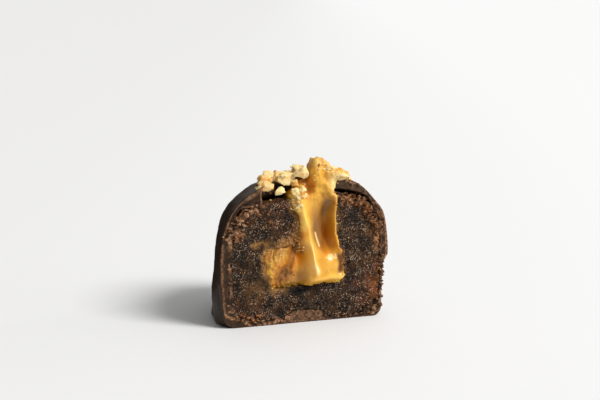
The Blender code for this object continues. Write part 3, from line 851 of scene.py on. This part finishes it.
def chunk(centre, half_sizes, rng, count, cuts, rough):
    """One broken piece: the hull of a few points on an ellipsoid, with softened edges and a rough surface."""
    mesh = bmesh.new()
    for _ in range(count):
        way = Vector([rng.gauss(0.0, 1.0) for _ in range(3)]).normalized()
        mesh.verts.new(Vector(way[k] * half_sizes[k] for k in range(3)))
    hull = bmesh.ops.convex_hull(mesh, input=mesh.verts)
    spare = [v for v in hull["geom_interior"] if isinstance(v, bmesh.types.BMVert)]
    bmesh.ops.delete(mesh, geom=spare, context="VERTS")
    bmesh.ops.recalc_face_normals(mesh, faces=mesh.faces)
    bmesh.ops.subdivide_edges(mesh, edges=mesh.edges, cuts=cuts, use_grid_fill=True)
    for _ in range(max(1, cuts // 3)):
        bmesh.ops.smooth_vert(
            mesh, verts=mesh.verts, factor=0.5, use_axis_x=True, use_axis_y=True, use_axis_z=True
        )
    bmesh.ops.triangulate(mesh, faces=mesh.faces)
    mesh.normal_update()
    mesh.verts.index_update()
    points = np.array([v.co[:] for v in mesh.verts]) + np.array(centre)
    normals = np.array([v.normal[:] for v in mesh.verts])
    faces = [tuple(v.index for v in face.verts) for face in mesh.faces]
    mesh.free()
    bumps = layers(points, (0.35, 0.9, 0.0), (0.5, 0.45, 3.7), (0.4, 0.22, 1.9))
    return points + normals * (bumps * rough)[:, None], faces


CRUMB_SEED = 5
# Each row: the line they lie along as x, z and x, z, how many, least and most half size, how far they stray
CHOCOLATE_CRUMBS = (
    (-13.0, 1.8, -11.0, 1.5, 14, 0.18, 0.4, 0.12),
    (-10.8, 0.7, -7.2, 0.5, 22, 0.15, 0.4, 0.22),
    (-7.2, 0.5, -2.6, 0.9, 70, 0.2, 0.55, 0.24),
    (-3.4, 1.5, -2.2, 2.0, 10, 0.15, 0.35, 0.15),
    (3.0, 0.5, 10.8, 0.5, 26, 0.12, 0.32, 0.2),
    (11.4, 0.5, 12.6, 2.0, 30, 0.25, 0.6, 0.35),
    (-12.7, 14.2, -11.2, 17.2, 46, 0.2, 0.5, 0.4),
    (-11.0, 17.2, -7.4, 18.7, 60, 0.2, 0.55, 0.4),
    (-12.4, 2.0, -12.4, 9.0, 12, 0.12, 0.35, 0.2),
    (12.9, 3.0, 12.9, 8.6, 26, 0.15, 0.5, 0.14),
    (12.4, 8.6, 13.2, 10.0, 10, 0.2, 0.45, 0.14),
    (5.6, 22.4, 9.5, 21.6, 22, 0.15, 0.4, 0.25),
)
SKIN_FLAKES = (
    (5.6, 20.2, 8.6, 19.6, 26, 0.2, 0.5, 0.3),
    (8.6, 19.3, 12.6, 14.0, 70, 0.25, 0.65, 0.5),
    (9.0, 20.2, 13.4, 14.6, 40, 0.2, 0.5, 0.3),
    (-11.2, 16.6, -6.8, 18.3, 36, 0.2, 0.5, 0.5),
    (-4.4, 19.3, -3.9, 18.4, 7, 0.15, 0.35, 0.08),
    (-6.4, 17.2, -5.9, 16.2, 9, 0.15, 0.42, 0.12),
    (-9.0, 16.0, -6.0, 15.0, 10, 0.15, 0.4, 1.0),
    (12.4, 3.0, 12.6, 8.0, 22, 0.15, 0.45, 0.25),
    (-11.2, 1.6, -7.6, 1.3, 44, 0.2, 0.6, 0.35),
    (12.9, 1.6, 13.1, 9.4, 40, 0.2, 0.5, 0.12),
)
STUCK_CRUMBS = (
    (-2.2, 16.0, -1.5, 13.6, 12, 0.2, 0.45, 0.3),
    (-1.7, 14.4, -1.4, 12.4, 9, 0.3, 0.5, 0.24),
    (-1.4, 12.2, -0.8, 11.0, 8, 0.35, 0.6, 0.22),
    (1.85, 25.3, 2.0, 25.0, 5, 0.2, 0.32, 0.05),
    (1.7, 24.5, 1.7, 24.2, 2, 0.12, 0.2, 0.05),
    (-2.6, 8.3, -2.2, 7.5, 7, 0.12, 0.34, 0.16),
    (-5.0, 12.4, -1.5, 13.4, 12, 0.12, 0.3, 0.4),
    (5.9, 11.4, 6.3, 7.6, 16, 0.15, 0.4, 0.16),
)
BUTTER_CRUMBS = (
    (-6.2, 10.6, -5.6, 6.0, 26, 0.1, 0.24, 0.16),
    (-5.6, 5.9, -1.0, 5.9, 34, 0.1, 0.26, 0.14),
    (-1.0, 6.0, 6.2, 6.5, 26, 0.08, 0.2, 0.12),
    (5.2, 20.0, 5.2, 13.4, 6, 0.1, 0.25, 0.15),
    (-6.2, 11.0, -1.2, 13.2, 30, 0.08, 0.22, 0.35),
    (-0.9, 13.6, -1.0, 17.4, 8, 0.1, 0.22, 0.12),
)
PEANUT_CRUMBS = (
    (-1.8, 18.4, -0.8, 21.8, 100, 0.1, 0.36, 0.36),
    (0.6, 22.6, 3.0, 25.6, 10, 0.07, 0.2, 0.6),
    (1.2, 25.7, 4.8, 24.3, 30, 0.08, 0.22, 0.18),
    (3.4, 24.6, 7.0, 23.2, 44, 0.1, 0.36, 0.45),
    (3.6, 24.2, 5.4, 23.6, 22, 0.2, 0.5, 0.3),
    (4.4, 22.4, 4.8, 19.6, 10, 0.07, 0.2, 0.2),
    (-6.2, 9.4, -3.6, 11.6, 10, 0.08, 0.18, 0.6),
    (-1.7, 13.0, -0.8, 11.4, 22, 0.14, 0.3, 0.3),
    (6.0, 6.8, 6.4, 7.6, 8, 0.12, 0.3, 0.15),
)
# How many bits of peanut lie on top, and between which distances behind the cut
LYING_CRUMBS = ((70, (1.0, 19.0)), (40, (0.8, 7.0)))
LYING_SLOPE = 0.8
LYING_SPREAD = 2.4
# Points, cuts an edge and roughness of a piece, by kind
LARGE_NUT = (NUT_POINTS, 7, 0.28)
LUMP = (10, 3, 0.2)
SMALL_NUT = (12, 5, 0.3)
CRUMB = (10, 2, 0.12)
LYING_CRUMB = (10, 2, 0.1)
LUMPS = 2
NUT_TONES = (0.5, 0.3, 0.5, 0.85, 0.8, 0.6)
NUT_STAIN = ((-7.85, 22.3), 0.42)
# Small peanut pieces: middle (x, distance in front of the cut, z), half sizes and tone. The second one's high
# tone is painted light, making up for the peak's shadow on it.
SMALL_NUTS = (
    ((-4.3, -0.2, 21.1), (1.05, 0.6, 0.8), 0.9),
    ((-0.7, -0.2, 23.7), (1.4, 0.8, 1.2), 0.8),
    ((6.1, 0.25, 23.2), (1.4, 0.8, 0.95), 0.75),
    ((4.7, -0.4, 24.2), (0.9, 0.8, 0.8), 0.6),
    ((-1.4, -1.0, 22.2), (1.0, 0.7, 0.8), 0.4),
    ((-1.9, 0.7, 21.1), (0.9, 0.5, 0.8), 0.7),
    ((-0.9, 0.9, 21.5), (0.7, 0.5, 0.6), 0.7),
    ((-1.8, 0.9, 20.2), (0.5, 0.4, 0.5), 0.6),
    ((-0.6, 0.9, 20.4), (0.5, 0.4, 0.5), 0.8),
    ((-1.6, 0.8, 18.7), (0.5, 0.4, 0.45), 0.5),
    ((-1.0, 0.9, 18.9), (0.4, 0.3, 0.4), 0.9),
)


def surface_tree(*objects):
    """Lookup of what lies where on these meshes, in millimetres."""
    parts = [(points_of(made), [face.vertices for face in made.data.polygons]) for made in objects]
    points, faces = merge(parts)
    return BVHTree.FromPolygons(points.tolist(), faces)


def crumbs_along(lines, rng, tree):
    """Broken bits strewn along lines of the cut face, each one pressed on what it meets from the front."""
    parts = []
    for ax, az, bx, bz, count, small, large, spread in lines:
        for _ in range(count):
            share = rng.random()
            x = ax + (bx - ax) * share + rng.gauss(0.0, spread)
            z = az + (bz - az) * share + rng.gauss(0.0, spread)
            size = rng.uniform(small, large)
            half_sizes = (size, size * rng.uniform(0.4, 0.8), size * rng.uniform(0.4, 0.8))
            z = max(z, half_sizes[2])
            hit, _, _, _ = tree.ray_cast(Vector((x, CUT_Y - 8.0, z)), Vector((0.0, 1.0, 0.0)), 12.0)
            if hit:
                parts.append(chunk((x, hit.y - 0.2 * size, z), half_sizes, rng, *CRUMB))
    return parts


def lying_crumbs(count, lengths, rng, tree):
    """Small bits of peanut between the larger pieces on top, between two distances behind the cut."""
    parts = []
    while len(parts) < count:
        y = CUT_Y + rng.uniform(*lengths)
        x = (NUT_BAND[0] + NUT_BAND[1] + NUT_DRIFT * y) / 2 + rng.gauss(0.0, LYING_SPREAD)
        hit, normal, _, _ = tree.ray_cast(Vector((x, y, 40.0)), Vector((0.0, 0.0, -1.0)))
        if hit and normal.z > LYING_SLOPE:
            size = rng.uniform(0.15, 0.42)
            half_sizes = (size, size * rng.uniform(0.5, 0.9), size * rng.uniform(0.4, 0.7))
            parts.append(chunk((x, y, hit.z + 0.2 * size), half_sizes, rng, *LYING_CRUMB))
    return parts


def chopped_peanuts(tree):
    rng = random.Random(NUT_SEED)
    lumps = random.Random(CRUMB_SEED + 3)
    parts, tones = [], []
    for i, (centre, half_sizes) in enumerate(nut_places(rng)):
        tones += [NUT_TONES[i] if i < len(NUT_TONES) else lumps.random()] * (1 + LUMPS)
        parts.append(chunk(centre, half_sizes, rng, *LARGE_NUT))
        for _ in range(LUMPS):
            way = Vector([lumps.gauss(0.0, 1.0) for _ in range(3)]).normalized()
            spot = Vector(centre) + Vector(way[k] * half_sizes[k] * 0.8 for k in range(3))
            size = lumps.uniform(0.22, 0.38) * max(half_sizes)
            parts.append(chunk(spot, (size, size * 0.8, size * 0.7), lumps, *LUMP))
    rng = random.Random(CRUMB_SEED)
    for (x, front, z), half_sizes, tone in SMALL_NUTS:
        tones.append(tone)
        parts.append(chunk((x, CUT_Y - front, z), half_sizes, rng, *SMALL_NUT))
    parts += crumbs_along(PEANUT_CRUMBS, rng, tree)
    for count, lengths in LYING_CRUMBS:
        parts += lying_crumbs(count, lengths, rng, tree)
    tones += [rng.uniform(0.15, 0.65) for _ in parts[len(tones):]]
    made = make_object("chopped_peanuts", *merge(parts))
    spots = points_of(made)
    (x, z), size = NUT_STAIN
    away = np.hypot(spots[:, 0] - x, spots[:, 2] - z) + 0.3 * noise_at(spots, 0.5, 2.0)
    stain = ramp(away, size, 0.5 * size) * ramp(spots[:, 1] - CUT_Y, 3.0, 2.0)
    set_masks(made, tone=np.repeat(tones, [len(points) for points, _ in parts]), stain=stain)
    return made


def butter_crumbs(tree):
    """Specks of peanut butter dragged along its left and lower edges."""
    crumbs = crumbs_along(BUTTER_CRUMBS, random.Random(CRUMB_SEED + 2), tree)
    made = make_object("butter_crumbs", *merge(crumbs))
    set_masks(made, pale=ramp(noise_at(points_of(made), 0.8, 3.0), -0.3, 0.3), deep=0.3)
    return made


def chocolate_crumbs(tree):
    """Crumbs along the lower front edge of the coat, and flakes dragged over the flesh at the upper left."""
    crumbs = crumbs_along(CHOCOLATE_CRUMBS, random.Random(CRUMB_SEED), tree)
    made = make_object("chocolate_crumbs", *merge(crumbs))
    set_masks(made, cut=1.0, edge=ramp(noise_at(points_of(made), 0.9, 3.0), -0.35, 0.1) * 0.9)
    return made


def date_crumbs(tree):
    """Flakes of the date's skin, and crumbs of flesh stuck to the peanut butter."""
    rng = random.Random(CRUMB_SEED + 1)
    flakes = crumbs_along(SKIN_FLAKES, rng, tree)
    made = make_object("date_crumbs", *merge(flakes + crumbs_along(STUCK_CRUMBS, rng, tree)))
    spots = points_of(made)
    on_butter = np.arange(len(spots)) >= sum(len(points) for points, _ in flakes)
    smear = 0.65 + 0.35 * ramp(noise_at(spots, 0.8, 8.0), -0.3, 0.1)
    set_masks(
        made,
        skin=np.where(on_butter, 0.5, 1.0) * ramp(noise_at(spots, 0.7, 3.0), -0.3, 0.2),
        red=np.where(on_butter, 1.0, 0.25),
        amber=np.where(on_butter, 1.0, 0.5) * ramp(noise_at(spots, 0.7, 6.0), -0.1, 0.2),
        smear=np.where(on_butter, smear, 0.0),
    )
    return made


# Materials

class Look:
    """A Principled material built a node at a time, with sizes in millimetres."""

    def __init__(self, name, **constants):
        self.material = bpy.data.materials.new(name)
        self.material.use_nodes = True
        self.nodes = self.material.node_tree.nodes
        self.links = self.material.node_tree.links
        self.shader = self.nodes["Principled BSDF"]
        self.place = self.nodes.new("ShaderNodeTexCoord").outputs["Object"]
        for key, value in constants.items():
            self.feed(self.shader.inputs[key.replace("_", " ")], value)

    def feed(self, socket, value):
        if isinstance(value, bpy.types.NodeSocket):
            self.links.new(value, socket)
        elif socket.type == "RGBA":
            socket.default_value = (*value, 1.0)
        else:
            socket.default_value = value

    def noise(self, size, detail=3.0, roughness=0.6):
        node = self.nodes.new("ShaderNodeTexNoise")
        self.feed(node.inputs["Vector"], self.place)
        self.feed(node.inputs["Scale"], 1.0 / (size * MM))
        self.feed(node.inputs["Detail"], detail)
        self.feed(node.inputs["Roughness"], roughness)
        return node.outputs["Fac"]

    def cells(self, size, output="Distance"):
        """Rounded cells: distance from each cell's middle, or with output Color a random number a cell."""
        node = self.nodes.new("ShaderNodeTexVoronoi")
        self.feed(node.inputs["Vector"], self.place)
        self.feed(node.inputs["Scale"], 1.0 / (size * MM))
        return node.outputs[output]

    def mask(self, name):
        node = self.nodes.new("ShaderNodeAttribute")
        node.attribute_name = name
        return node.outputs["Fac"]

    def between(self, value, low, high, to_low=0.0, to_high=1.0):
        node = self.nodes.new("ShaderNodeMapRange")
        node.interpolation_type = "SMOOTHSTEP"
        for socket, number in zip(node.inputs, (value, low, high, to_low, to_high)):
            self.feed(socket, number)
        return node.outputs["Result"]

    def math(self, operation, first, second):
        node = self.nodes.new("ShaderNodeMath")
        node.operation = operation
        self.feed(node.inputs[0], first)
        self.feed(node.inputs[1], second)
        return node.outputs[0]
    def times(self, first, second):
        return self.math("MULTIPLY", first, second)

    def patches(self, size, low, high, detail=3.0):
        """Soft patches of this size: 0 where the noise is under low, 1 where it is over high."""
        return self.between(self.noise(size, detail), low, high)

    def mix(self, share, first, second):
        node = self.nodes.new("ShaderNodeMix")
        node.data_type = "RGBA"
        self.feed(node.inputs["Factor"], share)
        colours = [socket for socket in node.inputs if socket.type == "RGBA"]
        self.feed(colours[0], first)
        self.feed(colours[1], second)
        return next(socket for socket in node.outputs if socket.type == "RGBA")

    def bump(self, height, depth, normal=None):
        node = self.nodes.new("ShaderNodeBump")
        self.feed(node.inputs["Height"], height)
        self.feed(node.inputs["Distance"], depth * MM)
        if normal:
            self.links.new(normal, node.inputs["Normal"])
        return node.outputs["Normal"]

    def finish(self, colour, roughness, normal):
        self.feed(self.shader.inputs["Base Color"], colour)
        self.feed(self.shader.inputs["Roughness"], roughness)
        self.feed(self.shader.inputs["Normal"], normal)
        return self.material


def chocolate_look():
    """Dark coating: satin outside, smooth and dull where it is cut, with tan lines along the cut's edges."""
    look = Look("chocolate", Specular_IOR_Level=0.25, Specular_Tint=(1.0, 0.82, 0.66))
    cloud = look.noise(5.0)
    shell = look.mix(look.between(cloud, 0.35, 0.65), (0.0255, 0.0122, 0.0060), (0.046, 0.0220, 0.0108))
    streak = look.patches(0.9, 0.55, 0.75, 5.0)
    shell = look.mix(look.times(streak, 0.35), shell, (0.07, 0.040, 0.026))
    cut = look.mix(look.patches(0.9, 0.35, 0.65, 4.0), (0.015, 0.0072, 0.0042), (0.036, 0.0175, 0.0098))
    crumb = look.patches(0.4, 0.56, 0.66)
    cut = look.mix(look.times(crumb, 0.4), cut, (0.13, 0.062, 0.031))
    edge = look.mix(look.patches(0.35, 0.4, 0.6), (0.16, 0.072, 0.037), (0.46, 0.25, 0.13))
    colour = look.mix(look.mask("cut"), shell, cut)
    colour = look.mix(look.mask("edge"), colour, edge)
    roughness = look.between(cloud, 0.3, 0.7, 0.38, 0.5)
    roughness = look.math("ADD", roughness, look.times(look.mask("cut"), 0.3))
    normal = look.bump(look.noise(1.3, 5.0), 0.15)
    normal = look.bump(look.between(look.cells(0.8), 0.12, 0.0), -0.02, normal)
    normal = look.bump(look.times(look.noise(0.3, 3.0), look.mask("cut")), 0.2, normal)
    return look.finish(colour, roughness, normal)


def flesh_look():
    """Sticky dark date flesh with fine pale grains and pale specks that are partly sugar crystals and partly
    painted glints, redder where it is thin, browner under the skin.
    """
    look = Look("date_flesh", Specular_IOR_Level=0.13)
    patch = look.patches(2.2, 0.38, 0.62, 4.0)
    ground = look.mix(patch, (0.0030, 0.0024, 0.0020), (0.048, 0.0205, 0.0066))
    brown = look.patches(0.7, 0.52, 0.66)
    ground = look.mix(look.times(brown, 0.6), ground, (0.085, 0.038, 0.014))
    grain = look.between(look.cells(0.13, "Color"), 0.46, 0.76)
    colour = look.mix(look.times(grain, 0.36), ground, (0.105, 0.060, 0.031))
    colour = look.mix(look.times(look.mask("red"), look.noise(0.5)), colour, (0.15, 0.040, 0.018))
    # Pale specks: sugar crystals, and painted glints of the moist surface
    chosen = look.between(look.cells(0.14, "Color"), 0.66, 0.72)
    speck = look.times(look.between(look.cells(0.14), 0.6, 0.4), chosen)
    speck = look.times(speck, look.between(look.noise(1.3), 0.35, 0.65, 0.1, 0.9))
    pale = look.mix(look.patches(0.8, 0.45, 0.55, 2.0), (0.80, 0.53, 0.32), (0.54, 0.46, 0.38))
    colour = look.mix(speck, colour, pale)
    # Darker flesh, with painted shadow under the butter's lower lip
    colour = look.mix(look.mask("dark"), colour, (0.004, 0.003, 0.0024))
    colour = look.mix(look.times(look.mask("amber"), look.noise(0.5)), colour, (0.40, 0.115, 0.012))
    skin = look.mix(look.patches(0.5, 0.42, 0.58, 4.0), (0.036, 0.013, 0.0055), (0.42, 0.19, 0.078))
    colour = look.mix(look.mask("skin"), colour, skin)
    smear = look.times(look.mask("smear"), look.between(look.noise(0.5), 0.3, 0.7, 0.4, 1.0))
    colour = look.mix(smear, colour, (0.49, 0.235, 0.066))
    roughness = look.between(look.noise(0.3, 2.0), 0.42, 0.58, 0.25, 0.62)
    normal = look.bump(look.noise(0.35, 4.0, 0.7), 0.35)
    normal = look.bump(look.cells(0.17), -0.10, normal)
    return look.finish(colour, roughness, normal)


def butter_look():
    """Smooth peanut butter: glossy and golden, duller and grainy on top, with painted shade in deep orange,
    mauve and brown in its deepest fold, valleys, dents and under its lip, and painted light and highlights on
    its strands, ridges and pool.
    """
    look = Look(
        "peanut_butter",
        Subsurface_Weight=0.35,
        Subsurface_Radius=(1.0, 0.45, 0.12),
        Subsurface_Scale=0.0012,
        Specular_IOR_Level=0.38,
    )
    colour = look.mix(look.patches(2.2, 0.35, 0.65), (0.65, 0.305, 0.030), (0.79, 0.415, 0.050))
    colour = look.mix(look.times(look.mask("matte"), 0.75), colour, (0.61, 0.33, 0.042))
    colour = look.mix(look.times(look.mask("crumbly"), 0.6), colour, (0.72, 0.385, 0.030))
    # Pale: painted light, and paler butter and crumbs
    colour = look.mix(look.mask("pale"), colour, (0.96, 0.59, 0.115))
    # Painted shade in deep orange, and the orange tint of the crumbs
    colour = look.mix(look.mask("deep"), colour, (0.58, 0.19, 0.004))
    # Painted shade in mauve-brown
    colour = look.mix(look.mask("mauve"), colour, (0.24, 0.10, 0.020))
    grainy = look.math("MAXIMUM", look.mask("crumbly"), look.mask("matte"))
    grit = look.times(look.patches(0.25, 0.55, 0.68), grainy)
    colour = look.mix(look.times(grit, 0.3), colour, (0.90, 0.60, 0.20))
    dull = look.times(look.patches(0.9, 0.5, 0.65), look.mask("crumbly"))
    colour = look.mix(look.times(dull, 0.3), colour, (0.58, 0.27, 0.02))
    # Painted shade in brown at the right rim and in dents
    colour = look.mix(look.mask("brown"), colour, (0.12, 0.030, 0.0005))
    # Painted highlights
    colour = look.mix(look.mask("glint"), colour, (0.98, 0.68, 0.29))
    ragged = look.times(look.mask("speck"), look.patches(0.2, 0.35, 0.55))
    colour = look.mix(ragged, colour, (0.14, 0.035, 0.008))
    roughness = look.math("ADD", 0.17, look.times(grainy, 0.22))
    roughness = look.math("ADD", roughness, look.times(look.mask("brown"), 0.4))
    normal = look.bump(look.noise(1.1, 3.0), 0.06)
    normal = look.bump(look.times(look.noise(0.3, 3.0), grainy), 0.12, normal)
    return look.finish(colour, roughness, normal)


def peanut_look():
    """Pale chopped peanut, grainy where it is broken."""
    look = Look(
        "peanut",
        Subsurface_Weight=0.3,
        Subsurface_Radius=(1.0, 0.55, 0.25),
        Subsurface_Scale=0.0008,
    )
    pale = look.math("ADD", look.between(look.noise(0.9, 4.0), 0.36, 0.64, -0.3, 0.4), look.mask("tone"))
    colour = look.mix(look.between(pale, 0.1, 0.9), (0.96, 0.50, 0.115), (1.0, 0.735, 0.34))
    speck = look.patches(0.45, 0.68, 0.74, 2.0)
    colour = look.mix(look.times(speck, 0.7), colour, (0.34, 0.16, 0.06))
    colour = look.mix(look.mask("stain"), colour, (0.10, 0.035, 0.012))
    normal = look.bump(look.noise(0.28, 4.0, 0.7), 0.22)
    return look.finish(colour, look.between(look.noise(0.5), 0.35, 0.65, 0.42, 0.62), normal)


def finish_piece(piece, material, node):
    piece.data.materials.clear()
    piece.data.materials.append(material)
    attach(piece, "root")
    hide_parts(node)


# Camera, floor and light

AZIMUTH = -21.0
ELEVATION = 9.0
DISTANCE = 221.29
AIM = (-0.99, CUT_Y, 19.62)

FOCAL_LENGTH = 85.0
SENSOR_WIDTH = 36.0


def camera():
    data = bpy.data.cameras.new("camera")
    data.lens, data.sensor_width = FOCAL_LENGTH, SENSOR_WIDTH
    data.clip_start, data.clip_end = 0.01, 20.0
    made = add_object("camera", data)
    a, e = math.radians(AZIMUTH), math.radians(ELEVATION)
    back = Vector((math.sin(a) * math.cos(e), -math.cos(a) * math.cos(e), math.sin(e)))
    made.location = (Vector(AIM) + back * DISTANCE) * MM
    made.rotation_euler = (-back).to_track_quat("-Z", "Y").to_euler()
    bpy.context.scene.camera = made


KEY_AZIMUTH = 38.0
KEY_ELEVATION = 42.0
KEY_STRENGTH = 3.1
KEY_ANGLE = 25.0
# The world's strength goes from dark to bright as a direction turns to the bright side
WORLD_DARK = 0.03
WORLD_BRIGHT = 0.68
WORLD_BRIGHT_SIDE = (0.8, 0.0, 0.6)
WORLD_TURN = (-0.35, 0.75)
# Stage sizes in metres
CARD_FROM = (-0.008, 0.016)
CARD_TO = (-0.060, -0.002)
CARD_HEIGHT = 0.042
FLOOR_SIZE = 8.0
# Floor colour with painted light, darker to the left and brighter to the right
FLOOR_LEFT = (0.795, 0.790, 0.782)
FLOOR_RIGHT = (0.895, 0.895, 0.890)
FLOOR_RIGHT_WAY = (0.934, -0.358, 0.0)
FLOOR_TURN = (-0.10, 0.14)


def key_light():
    data = bpy.data.lights.new("key", "SUN")
    data.energy = KEY_STRENGTH
    data.angle = math.radians(KEY_ANGLE)
    made = add_object("key", data)
    made.rotation_euler = (math.radians(90.0 - KEY_ELEVATION), 0.0, math.radians(KEY_AZIMUTH))


def sheet(name, corners, material):
    """One flat face of the stage."""
    data = bpy.data.meshes.new(name)
    data.from_pydata(corners, [], [(0, 1, 2, 3)])
    data.materials.append(material)
    made = add_object(name, data)
    return made


def dark_card():
    """Black card behind and to the left, out of the picture, which only reflections see."""
    look = Look("card", Base_Color=(0.01, 0.009, 0.008), Roughness=0.9)
    apart = look.nodes.new("ShaderNodeSeparateXYZ")
    look.feed(apart.inputs[0], look.place)
    solid = look.between(apart.outputs["X"], CARD_TO[0], CARD_TO[0] * 0.8)
    solid = look.times(solid, look.between(apart.outputs["Z"], CARD_HEIGHT, CARD_HEIGHT * 0.7))
    look.feed(look.shader.inputs["Alpha"], solid)
    low = [(*CARD_FROM, 0.0), (*CARD_TO, 0.0)]
    high = [(*CARD_TO, CARD_HEIGHT), (*CARD_FROM, CARD_HEIGHT)]
    card = sheet("card", low + high, look.material)
    card.visible_camera = False
    card.visible_diffuse = False
    card.visible_shadow = False


def turn(nodes, way):
    """Dot product of a direction with this way: its input and its output."""
    node = nodes.new("ShaderNodeVectorMath")
    node.operation = "DOT_PRODUCT"
    node.inputs[1].default_value = way
    return node.inputs[0], node.outputs["Value"]


def floor():
    """Pale floor as far as the camera sees, with painted light: its colour is a little brighter to the right.
    """
    look = Look("floor")
    place, across = turn(look.nodes, FLOOR_RIGHT_WAY)
    look.feed(place, look.place)
    paper_with_painted_light = look.mix(look.between(across, *FLOOR_TURN), FLOOR_LEFT, FLOOR_RIGHT)
    material = look.finish(paper_with_painted_light, 0.7, look.bump(look.noise(0.4), 0.01))
    size = FLOOR_SIZE
    corners = [(-size, -size, 0.0), (size, -size, 0.0), (size, size, 0.0), (-size, size, 0.0)]
    sheet("floor", corners, material)


def world_light():
    """A world that is bright to the right and above, and dim to the left."""
    world = bpy.data.worlds.new("world")
    bpy.context.scene.world = world
    world.use_nodes = True
    nodes, links = world.node_tree.nodes, world.node_tree.links
    way, toward = turn(nodes, WORLD_BRIGHT_SIDE)
    links.new(nodes.new("ShaderNodeTexCoord").outputs["Generated"], way)
    level = nodes.new("ShaderNodeMapRange")
    for socket, number in zip(list(level.inputs)[1:5], (*WORLD_TURN, WORLD_DARK, WORLD_BRIGHT)):
        socket.default_value = number
    links.new(toward, level.inputs["Value"])
    links.new(level.outputs["Result"], nodes["Background"].inputs["Strength"])
    nodes["Background"].inputs["Color"].default_value = (1.0, 1.0, 1.0, 1.0)


chocolate, flesh, butter = chocolate_look(), flesh_look(), butter_look()
coat_piece, flesh_piece, butter_piece = chocolate_coat(), date_flesh(), peanut_butter()
surfaces = surface_tree(coat_piece, flesh_piece, butter_piece)
finish_piece(coat_piece, chocolate, "chocolate_coat")
finish_piece(flesh_piece, flesh, "date_flesh")
finish_piece(butter_piece, butter, "peanut_butter")
finish_piece(butter_crumbs(surfaces), butter, "peanut_butter")
finish_piece(chopped_peanuts(surfaces), peanut_look(), "chocolate_coat")
finish_piece(chocolate_crumbs(surfaces), chocolate, "chocolate_coat")
finish_piece(date_crumbs(surfaces), flesh, "date_flesh")
camera()
floor()
world_light()
key_light()
dark_card()
bpy.context.scene.view_settings.view_transform = "Standard"
